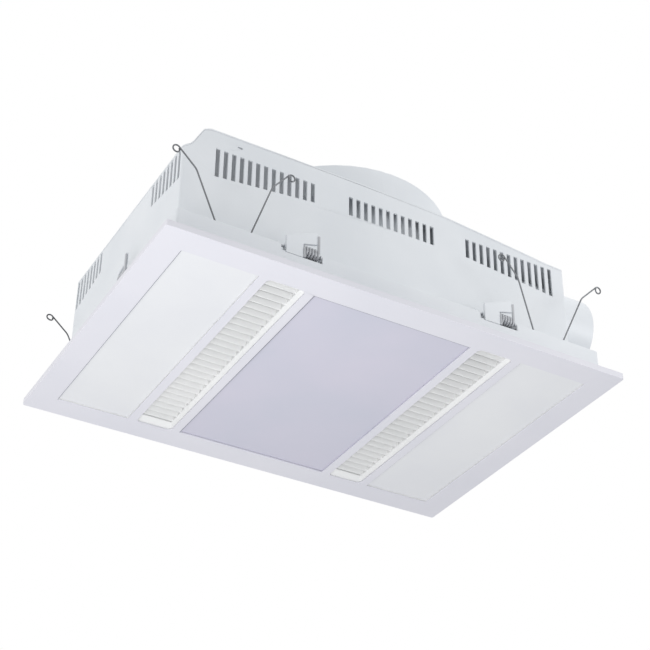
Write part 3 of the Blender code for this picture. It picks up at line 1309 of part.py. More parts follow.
# Electrical pieces
def make_electrics():
    face = HOUSING_HALF_LENGTH - HOUSING_WALL - SEAT_GAP
    low = (face - TERMINAL_LENGTH, TERMINAL_Y - TERMINAL_WIDTH / 2, TERMINAL_Z - TERMINAL_HEIGHT / 2)
    high = (face, TERMINAL_Y + TERMINAL_WIDTH / 2, TERMINAL_Z + TERMINAL_HEIGHT / 2)
    box = blocks("terminal_box", [(low, high)])
    wall = TERMINAL_WALL
    inside_low = (low[0] - OVERRUN, low[1] + wall, low[2] + wall)
    inside_high = (high[0] - wall, high[1] - wall, high[2] - wall)
    combine(box, blocks("terminal_inside", [(inside_low, inside_high)]))
    centre = (high[0], TERMINAL_Y, TERMINAL_Z)
    combine(box, rod("terminal_hole", GLAND_RADIUS + GLAND_CLEARANCE, 2 * OVERRUN + wall, centre, "X"))
    dress(box, "grey")

    start = face - wall - GLAND_NUT_LENGTH
    outer = HOUSING_HALF_LENGTH + SEAT_GAP
    tip = outer + GLAND_NUT_LENGTH + GLAND_NOSE_LENGTH
    centre = ((start + tip) / 2, TERMINAL_Y, TERMINAL_Z)
    gland = rod("cable_gland", GLAND_RADIUS, tip - start, centre, "X")
    nut_centre = (outer + GLAND_NUT_LENGTH / 2, TERMINAL_Y, TERMINAL_Z)
    join(gland, rod("gland_nut", GLAND_NUT_RADIUS, GLAND_NUT_LENGTH, nut_centre, "X", NUT_SIDES))
    combine(gland, rod("gland_bore", GLAND_BORE, tip - start + OVERRUN, centre, "X"))
    dress(gland, "black", smooth=True)

    size = (CAPACITOR_LENGTH, CAPACITOR_WIDTH, CAPACITOR_HEIGHT)
    centre = (-face + CAPACITOR_LENGTH / 2, 0, CAPACITOR_Z)
    dress(soft_box("run_capacitor", size, centre, CAPACITOR_EDGE), "grey", smooth=True)


make_fascia()
make_pane("light_diffuser", 0, LIGHT_WINDOW_LENGTH, LIGHT_HALF_WIDTH, DIFFUSER_THICKNESS, "diffuser")
for end_name, end_side in (("left", -1), ("right", 1)):
    pane_name, pane_x = "heater_glass_" + end_name, end_side * HEATER_X
    make_pane(pane_name, pane_x, HEATER_WINDOW_LENGTH, WINDOW_HALF_WIDTH, GLASS_THICKNESS, "glass")
    make_grille("grille_" + end_name, end_side)
    make_heater(end_name, end_side)
make_light()
make_frame()
make_housing()
make_torsion_springs()
make_clamps()
make_fan_housing()
make_inlet_ring()
make_impeller()
make_motor()
make_outlet()
make_electrics()
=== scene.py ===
"""Bathroom ceiling heater: finishes, fine pieces, studio and camera."""
import math

import bmesh
import bpy
from mathutils import Matrix, Vector


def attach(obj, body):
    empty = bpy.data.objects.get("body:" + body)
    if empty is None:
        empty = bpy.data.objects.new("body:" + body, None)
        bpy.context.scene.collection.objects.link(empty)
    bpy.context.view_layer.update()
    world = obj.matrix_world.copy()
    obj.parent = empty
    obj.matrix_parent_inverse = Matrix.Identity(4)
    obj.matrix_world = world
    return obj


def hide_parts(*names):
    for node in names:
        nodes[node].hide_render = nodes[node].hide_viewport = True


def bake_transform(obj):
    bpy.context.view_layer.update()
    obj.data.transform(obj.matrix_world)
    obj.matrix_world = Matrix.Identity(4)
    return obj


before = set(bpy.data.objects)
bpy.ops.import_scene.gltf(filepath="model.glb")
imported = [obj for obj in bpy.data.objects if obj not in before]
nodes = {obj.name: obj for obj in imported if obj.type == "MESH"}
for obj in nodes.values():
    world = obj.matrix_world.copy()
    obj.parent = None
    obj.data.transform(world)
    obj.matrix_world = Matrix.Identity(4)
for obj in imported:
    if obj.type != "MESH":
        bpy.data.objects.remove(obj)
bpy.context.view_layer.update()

# Camera, solved from the straight edges of the photograph
PHOTO_SIZE = 650
CAMERA_PLACE = (-0.7650608, -1.3843530, -0.9663585)
CAMERA_RIGHT = (0.8698221, -0.4932650, 0.0099607)
CAMERA_DOWN = (0.2820368, 0.4805750, -0.8303631)
CAMERA_FORWARD = (0.4048022, 0.7250774, 0.5571337)
CAMERA_FOCAL_PIXELS = 1580.76
SENSOR = 36.0
CLIP_NEAR = 0.05
CLIP_FAR = 60


# Materials
NOISE_LOW = 0.3
NOISE_HIGH = 0.7
BROAD_SCALE = 7
BROAD_DETAIL = 3
SMUDGE_SCALE = 34
SMUDGE_DETAIL = 5
USUAL_GRAIN = 900
PANE_GRAIN = 1400
GRAIN_DETAIL = 2
BUMP_STRENGTH = 0.5
BUMP_DEPTH = 0.00003
BEVEL_SAMPLES = 6


def srgb(red, green, blue):
    """A colour given as it looks on screen, 0 to 255, as the shader's linear values."""
    values = []
    for value in (red, green, blue):
        value = value / 255
        values.append(value / 12.92 if value <= 0.04045 else ((value + 0.055) / 1.055) ** 2.4)
    return (*values, 1.0)


def noise(tree, place, scale, detail):
    """Noise in the node's own coordinates."""
    texture = tree.nodes.new("ShaderNodeTexNoise")
    texture.inputs["Scale"].default_value = scale
    texture.inputs["Detail"].default_value = detail
    tree.links.new(place, texture.inputs["Vector"])
    return texture.outputs["Fac"]


def two_colours(tree, source, dark, light):
    """A colour that runs from dark to light with the noise."""
    node = tree.nodes.new("ShaderNodeValToRGB")
    low, high = node.color_ramp.elements
    low.position = NOISE_LOW
    low.color = dark
    high.position = NOISE_HIGH
    high.color = light
    tree.links.new(source, node.inputs["Fac"])
    return node.outputs["Color"]


def spread(tree, source, low, high):
    """A value that runs from low to high with the noise."""
    node = tree.nodes.new("ShaderNodeMapRange")
    node.inputs["From Min"].default_value = NOISE_LOW
    node.inputs["From Max"].default_value = NOISE_HIGH
    node.inputs["To Min"].default_value = low
    node.inputs["To Max"].default_value = high
    tree.links.new(source, node.inputs["Value"])
    return node.outputs["Result"]


def new_material(name):
    """A material with its tree, its principled shader and its object coordinates."""
    material = bpy.data.materials.new(name)
    material.use_nodes = True
    tree = material.node_tree
    shader = next(node for node in tree.nodes if node.type == "BSDF_PRINCIPLED")
    place = tree.nodes.new("ShaderNodeTexCoord").outputs["Object"]
    return material, tree, shader, place


def moulded(name, dark, light, rough=(0.36, 0.5), grain=USUAL_GRAIN, bevel=0.0008, **extra):
    """Moulded, painted or metal surface: broad tone, smudged gloss, fine grain and softened edges."""
    material, tree, shader, place = new_material(name)
    broad = noise(tree, place, BROAD_SCALE, BROAD_DETAIL)
    tree.links.new(two_colours(tree, broad, srgb(*dark), srgb(*light)), shader.inputs["Base Color"])
    smudge = noise(tree, place, SMUDGE_SCALE, SMUDGE_DETAIL)
    tree.links.new(spread(tree, smudge, *rough), shader.inputs["Roughness"])
    fine = noise(tree, place, grain, GRAIN_DETAIL)
    bump = tree.nodes.new("ShaderNodeBump")
    bump.inputs["Strength"].default_value = BUMP_STRENGTH
    bump.inputs["Distance"].default_value = BUMP_DEPTH
    tree.links.new(fine, bump.inputs["Height"])
    if bevel:
        edge = tree.nodes.new("ShaderNodeBevel")
        edge.samples = BEVEL_SAMPLES
        edge.inputs["Radius"].default_value = bevel
        tree.links.new(edge.outputs["Normal"], bump.inputs["Normal"])
    tree.links.new(bump.outputs["Normal"], shader.inputs["Normal"])
    for socket, value in extra.items():
        shader.inputs[socket].default_value = value
    return material


def metal(name, dark, light, rough):
    """A bare metal surface."""
    return moulded(name, dark, light, rough, Metallic=1.0)


FINISHES = {
    "white_shell": moulded("white_shell", (229, 233, 237), (239, 242, 245)),
    "white_fascia": moulded("white_fascia", (226, 226, 233), (232, 231, 237), (0.3, 0.42), bevel=0),
    "white_grille": moulded("white_grille", (239, 240, 239), (246, 246, 245)),
    "frosted_glass": moulded("frosted_glass", (231, 232, 235), (237, 238, 239), (0.3, 0.4), PANE_GRAIN),
    "milky_diffuser": moulded("milky_diffuser", (205, 206, 219), (213, 210, 223), (0.4, 0.5), PANE_GRAIN),
    "spring_steel": metal("spring_steel", (96, 98, 101), (134, 136, 140), (0.3, 0.45)),
    "coil_steel": moulded("coil_steel", (166, 168, 172), (192, 194, 198), (0.4, 0.55), Metallic=0.6),
    "zinc_steel": metal("zinc_steel", (168, 170, 174), (206, 208, 212), (0.28, 0.45)),
    "bright_aluminium": metal("bright_aluminium", (205, 207, 210), (228, 230, 233), (0.12, 0.25)),
    "ceramic": moulded("ceramic", (226, 222, 212), (238, 235, 226), (0.5, 0.7)),
    "quartz_tube": moulded("quartz_tube", (226, 214, 206), (240, 230, 222), (0.05, 0.12)),
    "white_board": moulded("white_board", (228, 232, 230), (240, 242, 240)),
    "black_plastic": moulded("black_plastic", (28, 29, 31), (44, 45, 48), (0.4, 0.6)),
    "grey_plastic": moulded("grey_plastic", (128, 132, 143), (146, 150, 160), (0.4, 0.6)),
}

for node in nodes.values():
    for slot in node.material_slots:
        slot.material = FINISHES[slot.material.name.split(".")[0]]


# Edges of the rigid nodes
MERGE_DISTANCE = 0.000004
SMOOTH_ANGLE = math.radians(50)
EDGE_SEGMENTS = 2
EDGE_ANGLE = math.radians(32)
FLAT_WEIGHT = 90
USUAL_EDGE = 0.00025
EDGES = {
    "fascia_panel": 0.00035,
    "housing_shell": 0.00015,
    "housing_lid": 0.0003,
    "base_frame": 0.0005,
    "fan_housing": 0.0006,
    "outlet_spigot": 0.0006,
    "heater_glass_left": 0.0002,
    "heater_glass_right": 0.0002,
    "light_diffuser": 0.0002,
}


def geometry_group(name):
    """An empty geometry node group with its input and output."""
    group = bpy.data.node_groups.new(name, "GeometryNodeTree")
    group.interface.new_socket("Geometry", in_out="INPUT", socket_type="NodeSocketGeometry")
    group.interface.new_socket("Geometry", in_out="OUTPUT", socket_type="NodeSocketGeometry")
    return group, group.nodes.new("NodeGroupInput"), group.nodes.new("NodeGroupOutput")


def cleaning_group():
    """Joins the triangles of a node along their edges, so that its edges can be rounded."""
    group, source, target = geometry_group("joined_triangles")
    last = source.outputs[0]
    for attribute in ("custom_normal", "sharp_edge", "sharp_face"):
        node = group.nodes.new("GeometryNodeRemoveAttribute")
        node.inputs["Name"].default_value = attribute
        group.links.new(last, node.inputs["Geometry"])
        last = node.outputs["Geometry"]
    merge = group.nodes.new("GeometryNodeMergeByDistance")
    merge.inputs["Distance"].default_value = MERGE_DISTANCE
    group.links.new(last, merge.inputs["Geometry"])
    group.links.new(merge.outputs["Geometry"], target.inputs[0])
    return group


def shading_group(angle):
    """Shades smooth, apart from edges sharper than the angle."""
    group, source, target = geometry_group("smooth_shading")
    faces = group.nodes.new("GeometryNodeSetShadeSmooth")
    faces.domain = "FACE"
    edges = group.nodes.new("GeometryNodeSetShadeSmooth")
    edges.domain = "EDGE"
    fold = group.nodes.new("GeometryNodeInputMeshEdgeAngle")
    blunt = group.nodes.new("FunctionNodeCompare")
    blunt.data_type = "FLOAT"
    blunt.operation = "LESS_EQUAL"
    blunt.inputs[1].default_value = angle
    group.links.new(fold.outputs["Unsigned Angle"], blunt.inputs[0])
    group.links.new(source.outputs[0], faces.inputs["Geometry"])
    group.links.new(faces.outputs["Geometry"], edges.inputs["Geometry"])
    group.links.new(blunt.outputs["Result"], edges.inputs["Shade Smooth"])
    group.links.new(edges.outputs["Geometry"], target.inputs[0])
    return group


CLEANING = cleaning_group()
SHADING = shading_group(SMOOTH_ANGLE)


def round_edges(obj, width):
    """Rounds the sharp edges by the width and keeps the flat faces flat."""
    clean = obj.modifiers.new("join", "NODES")
    clean.node_group = CLEANING
    edge = obj.modifiers.new("edge", "BEVEL")
    edge.width = width
    edge.segments = EDGE_SEGMENTS
    edge.limit_method = "ANGLE"
    edge.angle_limit = EDGE_ANGLE
    edge.use_clamp_overlap = False
    edge.miter_outer = "MITER_ARC"
    shade = obj.modifiers.new("shade", "NODES")
    shade.node_group = SHADING
    flat = obj.modifiers.new("flat", "WEIGHTED_NORMAL")
    flat.mode = "FACE_AREA"
    flat.weight = FLAT_WEIGHT
    flat.keep_sharp = True


# The springs are left out, because wire pieces replace them
for name, node in nodes.items():
    if "_spring_" not in name:
        round_edges(node, EDGES.get(name, USUAL_EDGE))


# Wire pieces
DOME_STEPS = 4
DOME_SHARE = 0.5


def tube(name, path, radius, finish, sides):
    """A round wire along a path, with domed ends."""
    points = [Vector(point) for point in path]
    tangents = []
    for index in range(len(points)):
        before, after = points[max(index - 1, 0)], points[min(index + 1, len(points) - 1)]
        tangents.append((after - before).normalized())
    normal = tangents[0].orthogonal().normalized()
    rings = []
    for index, point in enumerate(points):
        if index:
            normal = (tangents[index - 1].rotation_difference(tangents[index]) @ normal).normalized()
        across = tangents[index].cross(normal)
        rings.append((point, tangents[index], normal, across, radius))
    for end, side in ((rings[0], -1), (rings[-1], 1)):
        point, tangent, out, across, _ = end
        caps = []
        for step in range(1, DOME_STEPS + 1):
            angle = math.pi / 2 * step / (DOME_STEPS + 1)
            shift = tangent * side * radius * DOME_SHARE * math.sin(angle)
            caps.append((point + shift, tangent, out, across, radius * math.cos(angle)))
        rings = rings + caps if side > 0 else caps[::-1] + rings
    form = bmesh.new()
    loops = []
    for point, _, out, across, size in rings:
        loop = []
        for side in range(sides):
            angle = 2 * math.pi * side / sides
            spoke = math.cos(angle) * out + math.sin(angle) * across
            loop.append(form.verts.new(point + size * spoke))
        loops.append(loop)
    for low, high in zip(loops, loops[1:]):
        for side in range(sides):
            following = (side + 1) % sides
            form.faces.new((low[side], low[following], high[following], high[side]))
    form.faces.new(loops[0][::-1])
    form.faces.new(loops[-1])
    for face in form.faces:
        face.smooth = True
    mesh = bpy.data.meshes.new(name)
    form.to_mesh(mesh)
    form.free()
    mesh.materials.append(FINISHES[finish])
    obj = bpy.data.objects.new(name, mesh)
    bpy.context.scene.collection.objects.link(obj)
    return obj


def arc(centre, radius, start, sweep, steps):
    """Points of an arc in a plane, both ends among them."""
    points = []
    for step in range(steps + 1):
        angle = start + sweep * step / steps
        points.append((centre[0] + radius * math.cos(angle), centre[1] + radius * math.sin(angle)))
    return points


TORSION_WIRE = 0.0018
TORSION_COIL_RADIUS = 0.0062
TORSION_PITCH = 0.00205
TORSION_TURNS = 2
TORSION_ARM = 0.1046
TORSION_TIP = 0.0299
TORSION_ARM_ANGLE = math.radians(21.6)
TORSION_TIP_ANGLE = math.radians(43.7)
TORSION_BEND = 0.016
TORSION_EYE = 0.0041
TORSION_EYE_SWEEP = math.radians(338)
TORSION_SIDES = 16
TORSION_COIL_STEPS = 90
TORSION_BEND_STEPS = 10
TORSION_EYE_STEPS = 40
TORSION_EYE_SHIFTED_STEPS = 21
TORSION_TIP_POINT_SHARE = 0.7
# End of the front spring, end of the rear one, X of the front one, its lean and tilt in degrees
TORSION_PLACES = (
    ("left", "right", -0.1999, -4.5, 5),
    ("right", "left", 0.2044, 0.4, 8),
)
TORSION_Y = 0.1749
TORSION_Z = 0.0135


def torsion_arm(side, half_coil):
    """One arm from the coil outwards: straight, bent, straight, and rolled into an eye."""
    lean, tip = TORSION_ARM_ANGLE, TORSION_TIP_ANGLE
    along = Vector((math.sin(lean), math.cos(lean)))
    out = Vector((math.sin(tip), math.cos(tip)))
    root = TORSION_COIL_RADIUS * Vector((math.cos(lean), -math.sin(lean)))
    corner = root + TORSION_ARM * along
    cut = TORSION_BEND * math.tan((tip - lean) / 2)
    flat = [root, root + (TORSION_ARM - cut) * along / 2]
    start = corner - cut * along
    centre = start + TORSION_BEND * Vector((math.cos(lean), -math.sin(lean)))
    flat += arc(centre, TORSION_BEND, math.pi - lean, lean - tip, TORSION_BEND_STEPS)
    end = corner + TORSION_TIP * out
    flat.append(corner + TORSION_TIP * out * TORSION_TIP_POINT_SHARE)
    centre = end + TORSION_EYE * Vector((math.cos(tip), -math.sin(tip)))
    flat += arc(centre, TORSION_EYE, math.pi - tip, -TORSION_EYE_SWEEP, TORSION_EYE_STEPS)
    last_flat = len(flat) - 1 - TORSION_EYE_SHIFTED_STEPS
    points = []
    for index, (x, z) in enumerate(flat):
        turned = max(0.0, (index - last_flat) / TORSION_EYE_SHIFTED_STEPS)
        points.append((side * x, -side * (half_coil + TORSION_WIRE * turned * turned), z))
    return points


def torsion_path():
    """The whole wire of a torsion spring: arm, coil, arm."""
    sweep = math.pi - 2 * TORSION_ARM_ANGLE + 2 * math.pi * TORSION_TURNS
    half_coil = TORSION_PITCH * sweep / (4 * math.pi)
    coil = []
    for step in range(1, TORSION_COIL_STEPS):
        angle = math.pi + TORSION_ARM_ANGLE + sweep * step / TORSION_COIL_STEPS
        y = half_coil * (1 - 2 * step / TORSION_COIL_STEPS)
        coil.append((TORSION_COIL_RADIUS * math.cos(angle), y, TORSION_COIL_RADIUS * math.sin(angle)))
    return torsion_arm(-1, half_coil)[::-1] + coil + torsion_arm(1, half_coil)


def make_torsion_springs():
    """Four torsion springs: the front ones from TORSION_PLACES, the rear ones half a turn round."""
    path = torsion_path()
    for front_end, rear_end, x, lean, tilt in TORSION_PLACES:
        slope = Matrix.Rotation(math.radians(tilt), 4, "X") @ Matrix.Rotation(math.radians(lean), 4, "Y")
        front = Matrix.Translation((x, -TORSION_Y, TORSION_Z)) @ slope
        rear = Matrix.Rotation(math.pi, 4, "Z") @ front
        for row, end, placement in (("front", front_end, front), ("rear", rear_end, rear)):
            name = "torsion_spring_" + row + "_" + end
            points = [placement @ Vector(point) for point in path]
            piece = tube("wire_" + name, points, TORSION_WIRE / 2, "spring_steel", TORSION_SIDES)
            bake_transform(piece)
            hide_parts(name)


CLAMP_WIRE = 0.003
CLAMP_COIL_RADIUS = 0.0066
CLAMP_TURNS = 5
CLAMP_START = 0.0028
CLAMP_END = 0.0203
CLAMP_FOOT = -0.0105
CLAMP_REACH = 0.0225
CLAMP_SIDES = 14
CLAMP_TURN_STEPS = 30
# Name, place on the pin's axis and turn in degrees
CLAMP_STATIONS = (
    ("front_left", (-0.1242, -0.1778, 0.0445), 0),
    ("front_right", (0.1310, -0.1778, 0.0445), 0),
    ("rear_left", (-0.1310, 0.1778, 0.0445), 180),
    ("rear_right", (0.1242, 0.1778, 0.0445), 180),
    ("end_left", (-0.2653, -0.030, 0.0445), -90),
    ("end_right", (0.2653, 0.030, 0.0445), 90),
)


def clamp_path():
    """The wire of a clamp's spring: from the ledge, round the pin and up along the lever."""
    y = -CLAMP_COIL_RADIUS
    foot = [(CLAMP_START, y, CLAMP_FOOT), (CLAMP_START, y, CLAMP_FOOT / 2)]
    coil = []
    steps = CLAMP_TURNS * CLAMP_TURN_STEPS
    for step in range(steps + 1):
        angle = math.pi - 2 * math.pi * CLAMP_TURNS * step / steps
        x = CLAMP_START + (CLAMP_END - CLAMP_START) * step / steps
        coil.append((x, CLAMP_COIL_RADIUS * math.cos(angle), CLAMP_COIL_RADIUS * math.sin(angle)))
    reach = [(CLAMP_END, y, CLAMP_REACH / 2), (CLAMP_END, y, CLAMP_REACH)]
    return foot + coil + reach


def make_clamp_springs():
    """Six coil springs on the pins of the clamps, from the ledge to the lever."""
    path = clamp_path()
    for name, centre, turn in CLAMP_STATIONS:
        placement = Matrix.Translation(centre) @ Matrix.Rotation(math.radians(turn), 4, "Z")
        points = [placement @ Vector(point) for point in path]
        piece = tube("wire_clamp_spring_" + name, points, CLAMP_WIRE / 2, "coil_steel", CLAMP_SIDES)
        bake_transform(piece)
        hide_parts("clamp_spring_" + name)


make_torsion_springs()
make_clamp_springs()


# Grilles and seals of the fascia, and grey strips of painted shade at the edges of its windows
PANE_Z = 0.0025
WINDOW_HALF_WIDTH = 0.1714
GRILLE_X = 0.1339
GRILLE_HALF = 0.023
GRILLE_CORNER = 0.006
GRILLE_LAP = 0.0025
GRILLE_FLANGE = 0.0015
GRILLE_WALL = 0.0015
GRILLE_DISH = 0.004
GRILLE_COLLAR = 0.007
GRILLE_COLLAR_WALL = 0.0011
GRILLE_SIDE_BORDER = 0.004
GRILLE_END_BORDER = 0.009
SLAT_COUNT = 27
SLAT_WIDTH = 0.0074
SLAT_THICKNESS = 0.0016
SLAT_TILT = math.radians(57)
SLAT_LIFT = 0.0068
SLAT_BITE = 0.0008
HEATER_INNER_X = 0.1675
HEATER_OUTER_X = 0.2580
SEAL_WIDTH = 0.0006
# Painted shade: width of the grey strip along the diffuser's left and front edges
DIFFUSER_SHADE_WIDTH = 0.0009
# Painted shade: width of the grey strip along a heater glass's left edge
GLASS_SHADE_WIDTH = 0.0011
LIGHT_HALF = 0.1003
LIGHT_HALF_WIDTH = 0.1692
SEAL_GAP = 0.0003
SEAL_FOOT = 0.0014
SEAL_OVERLAP = 0.00004
PLAY = 0.00003
# Painted shade: heights of the grey strip along the diffuser's edges
DIFFUSER_SHADE_HEIGHTS = (0.0004, 0.0013)
# Painted shade: heights of the grey strip along a heater glass's left edge
GLASS_SHADE_HEIGHTS = (0.0012, 0.0021)
GRILLE_EDGE = 0.0005
SEAL_EDGE = 0.00005
# Rounding of the grey strips of painted shade
SHADE_STRIP_EDGE = 0.0001
SEAL_CORNER = 0.001
LEAST_CORNER = 0.0008
CORNER_POINTS = 6


def rounded_ring(form, half_x, half_y, radius, z, middle):
    """The vertices of a rounded rectangle, with CORNER_POINTS to a corner."""
    verts = []
    radius = min(radius, half_x, half_y)
    for turn, (side_x, side_y) in enumerate(((1, 1), (-1, 1), (-1, -1), (1, -1))):
        for step in range(CORNER_POINTS):
            angle = math.pi / 2 * (turn + step / (CORNER_POINTS - 1))
            x = side_x * (half_x - radius) + radius * math.cos(angle)
            y = side_y * (half_y - radius) + radius * math.sin(angle)
            verts.append(form.verts.new((middle + x, y, z)))
    return verts


def ring_body(form, profile, half_x, half_y, radius, middle):
    """A closed ring whose section is the profile of (outward shift in X, in Y, height)."""
    rings = []
    for shift_x, shift_y, z in profile:
        corner = max(radius + min(shift_x, shift_y), LEAST_CORNER)
        rings.append(rounded_ring(form, half_x + shift_x, half_y + shift_y, corner, z, middle))
    for low, high in zip(rings, rings[1:] + rings[:1]):
        for side in range(len(low)):
            following = (side + 1) % len(low)
            form.faces.new((low[side], low[following], high[following], high[side]))


def finish_piece(name, form, finish, width):
    """Turns a form into a piece of the fascia with rounded edges."""
    bmesh.ops.recalc_face_normals(form, faces=form.faces)
    mesh = bpy.data.meshes.new(name)
    form.to_mesh(mesh)
    form.free()
    mesh.materials.append(FINISHES[finish])
    piece = bpy.data.objects.new(name, mesh)
    bpy.context.scene.collection.objects.link(piece)
    round_edges(piece, width)
    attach(piece, "fascia")
    return piece


def make_grille(side_name, side):
    """A dished frame with a collar inside, and steep slats across it."""
    form = bmesh.new()
    top = PANE_Z + GRILLE_DISH
    in_x, in_y = -GRILLE_SIDE_BORDER, -GRILLE_END_BORDER
    section = [
        (GRILLE_LAP, GRILLE_LAP, PANE_Z),
        (0, 0, PANE_Z),
        (in_x, in_y, top),
        (in_x, in_y, top + GRILLE_COLLAR),
        (in_x + GRILLE_COLLAR_WALL, in_y + GRILLE_COLLAR_WALL, top + GRILLE_COLLAR),
        (in_x + GRILLE_COLLAR_WALL, in_y + GRILLE_COLLAR_WALL, top + GRILLE_WALL),
        (0, 0, PANE_Z + GRILLE_FLANGE),
        (GRILLE_LAP, GRILLE_LAP, PANE_Z + GRILLE_FLANGE),
    ]
    middle = side * GRILLE_X
    ring_body(form, section, GRILLE_HALF, WINDOW_HALF_WIDTH, GRILLE_CORNER, middle)
    half_span = WINDOW_HALF_WIDTH - GRILLE_END_BORDER
    pitch = 2 * half_span / SLAT_COUNT
    length = 2 * (GRILLE_HALF - GRILLE_SIDE_BORDER + SLAT_BITE)
    for index in range(SLAT_COUNT):
        made = bmesh.ops.create_cube(form, size=1)
        bmesh.ops.scale(form, vec=(length, SLAT_WIDTH, SLAT_THICKNESS), verts=made["verts"])
        bmesh.ops.rotate(form, matrix=Matrix.Rotation(-SLAT_TILT, 3, "X"), verts=made["verts"])
        place = (middle, -half_span + pitch * (index + 0.5), PANE_Z + SLAT_LIFT)
        bmesh.ops.translate(form, vec=place, verts=made["verts"])
    piece = finish_piece("fine_grille_" + side_name, form, "white_grille", GRILLE_EDGE)
    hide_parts("grille_" + side_name)


def make_seal(side_name, side):
    """A bead between the heater glass and the edge of its window."""
    form = bmesh.new()
    low, high = PANE_Z - SEAL_GAP + PLAY, PANE_Z - PLAY
    section = [
        (-SEAL_OVERLAP, -SEAL_OVERLAP, SEAL_FOOT),
        (-SEAL_WIDTH, -SEAL_WIDTH, high),
        (SEAL_WIDTH, SEAL_WIDTH, high),
        (SEAL_WIDTH, SEAL_WIDTH, low),
        (-SEAL_OVERLAP, -SEAL_OVERLAP, low),
    ]
    half = (HEATER_OUTER_X - HEATER_INNER_X) / 2
    middle = side * (HEATER_INNER_X + half)
    ring_body(form, section, half, WINDOW_HALF_WIDTH, SEAL_CORNER, middle)
    finish_piece("glass_seal_" + side_name, form, "white_grille", SEAL_EDGE)


def make_shade_strips(name, strips):
    """Thin grey strips of painted shade along the edges of a window, given as their lowest and highest
    corners.
    """
    form = bmesh.new()
    for low, high in strips:
        size = [high[axis] - low[axis] for axis in range(3)]
        middle = [(high[axis] + low[axis]) / 2 for axis in range(3)]
        made = bmesh.ops.create_cube(form, size=1)
        bmesh.ops.scale(form, vec=size, verts=made["verts"])
        bmesh.ops.translate(form, vec=middle, verts=made["verts"])
    finish_piece(name, form, "grey_plastic", SHADE_STRIP_EDGE)


def make_diffuser_shade_strips():
    """Grey strips of painted shade along the left and front edges of the diffuser, where a shadow line
    falls.
    """
    low, high = DIFFUSER_SHADE_HEIGHTS
    left, front = -LIGHT_HALF, -LIGHT_HALF_WIDTH
    long_side = (
        (left + PLAY, front + PLAY, low),
        (left + DIFFUSER_SHADE_WIDTH, -front - PLAY, high),
    )
    short_side = (
        (left + DIFFUSER_SHADE_WIDTH, front + PLAY, low),
        (-left - PLAY, front + DIFFUSER_SHADE_WIDTH, high),
    )
    make_shade_strips("diffuser_painted_shade", [long_side, short_side])


def make_glass_lip(side_name, side):
    """A grey strip of painted shade along the left edge of a heater glass, where a shadow line falls."""
    low, high = GLASS_SHADE_HEIGHTS
    left = min(side * HEATER_INNER_X, side * HEATER_OUTER_X)
    strip = (
        (left + PLAY, -WINDOW_HALF_WIDTH + PLAY, low),
        (left + GLASS_SHADE_WIDTH, WINDOW_HALF_WIDTH - PLAY, high),
    )
    make_shade_strips("glass_painted_shade_" + side_name, [strip])


make_diffuser_shade_strips()
for side_name, side in (("left", -1), ("right", 1)):
    make_grille(side_name, side)
    make_seal(side_name, side)
    make_glass_lip(side_name, side)


# Studio
FLOOR_HEIGHT = -2.1
FLOOR_SIZE = 30.0
FLOOR_NOISE_SCALE = 0.7
FLOOR_DARK = (236, 237, 239)
FLOOR_LIGHT = (240, 240, 242)
FLOOR_ROUGHNESS = (0.75, 0.9)
SOFT_COLOUR = (0.98, 0.99, 1.0, 1)
SOFT_STRENGTH = 0.67
WHITE = (1, 1, 1, 1)
# Name, place, aim, size and power
LIGHTS = (
    ("below", (-0.5, -0.28, -1.0), (-0.1, -0.1, 0), 0.5, 2.1),
    ("below_near", (-0.35, -0.35, -0.75), (-0.1, -0.15, 0), 0.3, 1.0),
    ("below_left", (-1.05, -0.6, -0.9), (-0.1, -0.15, 0), 0.6, 3.2),
    ("right", (0.8, -0.95, 0.1), (0.1, 0, 0.1), 0.4, 2.75),
    ("left", (-2.2, 0.3, 0.9), (0, 0, 0.1), 1.4, 7.7),
    ("top", (0.3, -0.2, 2.2), (0, 0, 0.1), 1.5, 7.5),
    ("inside_left", (-0.1, -0.03, 0.08), (-0.1, -0.03, 0.3), 0.2, 0.03),
)
# X and power
INSIDE_FRONT_LIGHTS = ((0.03, 0.02), (0.075, 0.045), (0.14, 0.025), (0.2, 0.025))
INSIDE_FRONT_Y = -0.133
INSIDE_FRONT_Z = 0.095
INSIDE_FRONT_AIM_Z = 0.3
INSIDE_FRONT_SIZE = 0.014


def area_light(name, place, aim, size, power):
    """A square light that the camera doesn't see."""
    data = bpy.data.lights.new(name, "AREA")
    data.shape = "SQUARE"
    data.size = size
    data.energy = power
    lamp = bpy.data.objects.new(name, data)
    lamp.location = place
    lamp.rotation_euler = (Vector(aim) - Vector(place)).to_track_quat("-Z", "Y").to_euler()
    lamp.visible_camera = False
    bpy.context.scene.collection.objects.link(lamp)


def make_lights():
    """Soft lights round the heater, and small ones behind its front wall for the slots."""
    for light in LIGHTS:
        area_light(*light)
    for number, (x, power) in enumerate(INSIDE_FRONT_LIGHTS):
        place = (x, INSIDE_FRONT_Y, INSIDE_FRONT_Z)
        aim = (x, INSIDE_FRONT_Y, INSIDE_FRONT_AIM_Z)
        area_light("inside_front_" + str(number), place, aim, INSIDE_FRONT_SIZE, power)


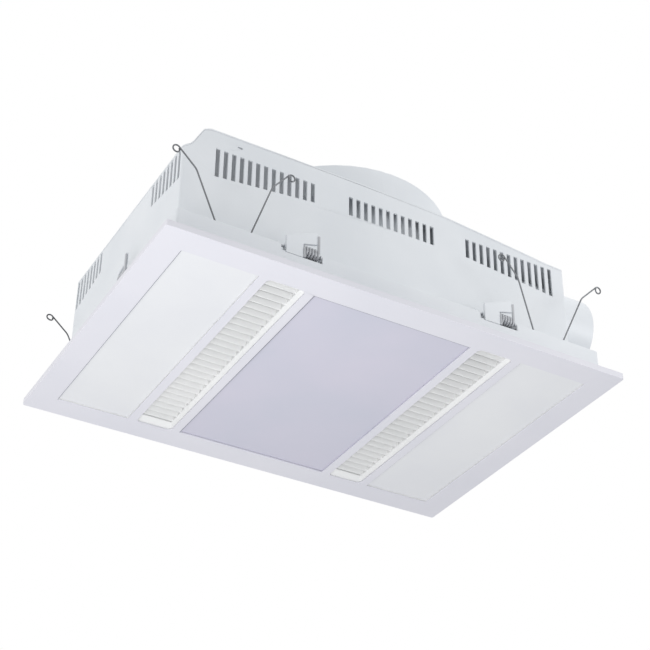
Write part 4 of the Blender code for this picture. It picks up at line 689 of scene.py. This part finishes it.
def make_world():
    """A soft pale world that looks white to the camera and in reflections."""
    world = bpy.data.worlds.new("studio")
    world.use_nodes = True
    tree = world.node_tree
    tree.nodes.clear()
    output = tree.nodes.new("ShaderNodeOutputWorld")
    soft = tree.nodes.new("ShaderNodeBackground")
    soft.inputs["Color"].default_value = SOFT_COLOUR
    soft.inputs["Strength"].default_value = SOFT_STRENGTH
    white = tree.nodes.new("ShaderNodeBackground")
    white.inputs["Color"].default_value = WHITE
    white.inputs["Strength"].default_value = 1.0
    rays = tree.nodes.new("ShaderNodeLightPath")
    either = rays.outputs["Is Camera Ray"]
    for other in ("Is Glossy Ray", "Is Transmission Ray"):
        joined = tree.nodes.new("ShaderNodeMath")
        joined.operation = "MAXIMUM"
        tree.links.new(either, joined.inputs[0])
        tree.links.new(rays.outputs[other], joined.inputs[1])
        either = joined.outputs["Value"]
    mix = tree.nodes.new("ShaderNodeMixShader")
    tree.links.new(either, mix.inputs["Fac"])
    tree.links.new(soft.outputs["Background"], mix.inputs[1])
    tree.links.new(white.outputs["Background"], mix.inputs[2])
    tree.links.new(mix.outputs["Shader"], output.inputs["Surface"])
    bpy.context.scene.world = world


def make_floor():
    """A pale floor far below the ceiling heater."""
    mesh = bpy.data.meshes.new("floor")
    half = FLOOR_SIZE / 2
    corners = [(-half, -half), (half, -half), (half, half), (-half, half)]
    mesh.from_pydata([(x, y, FLOOR_HEIGHT) for x, y in corners], [], [(0, 1, 2, 3)])
    floor = bpy.data.objects.new("floor", mesh)
    bpy.context.scene.collection.objects.link(floor)
    material, tree, shader, place = new_material("floor_paint")
    broad = noise(tree, place, FLOOR_NOISE_SCALE, BROAD_DETAIL)
    colour = two_colours(tree, broad, srgb(*FLOOR_DARK), srgb(*FLOOR_LIGHT))
    tree.links.new(colour, shader.inputs["Base Color"])
    tree.links.new(spread(tree, broad, *FLOOR_ROUGHNESS), shader.inputs["Roughness"])
    mesh.materials.append(material)


def make_camera():
    """The camera of the photograph."""
    data = bpy.data.cameras.new("camera")
    data.sensor_width = SENSOR
    data.lens = CAMERA_FOCAL_PIXELS * SENSOR / PHOTO_SIZE
    data.clip_start = CLIP_NEAR
    data.clip_end = CLIP_FAR
    camera = bpy.data.objects.new("camera", data)
    columns = (CAMERA_RIGHT, tuple(-v for v in CAMERA_DOWN), tuple(-v for v in CAMERA_FORWARD))
    turn = Matrix(columns).transposed().to_4x4()
    camera.matrix_world = Matrix.Translation(CAMERA_PLACE) @ turn
    bpy.context.scene.collection.objects.link(camera)
    bpy.context.scene.camera = camera


make_world()
make_floor()
make_camera()
make_lights()
bpy.context.scene.view_settings.view_transform = "Standard"
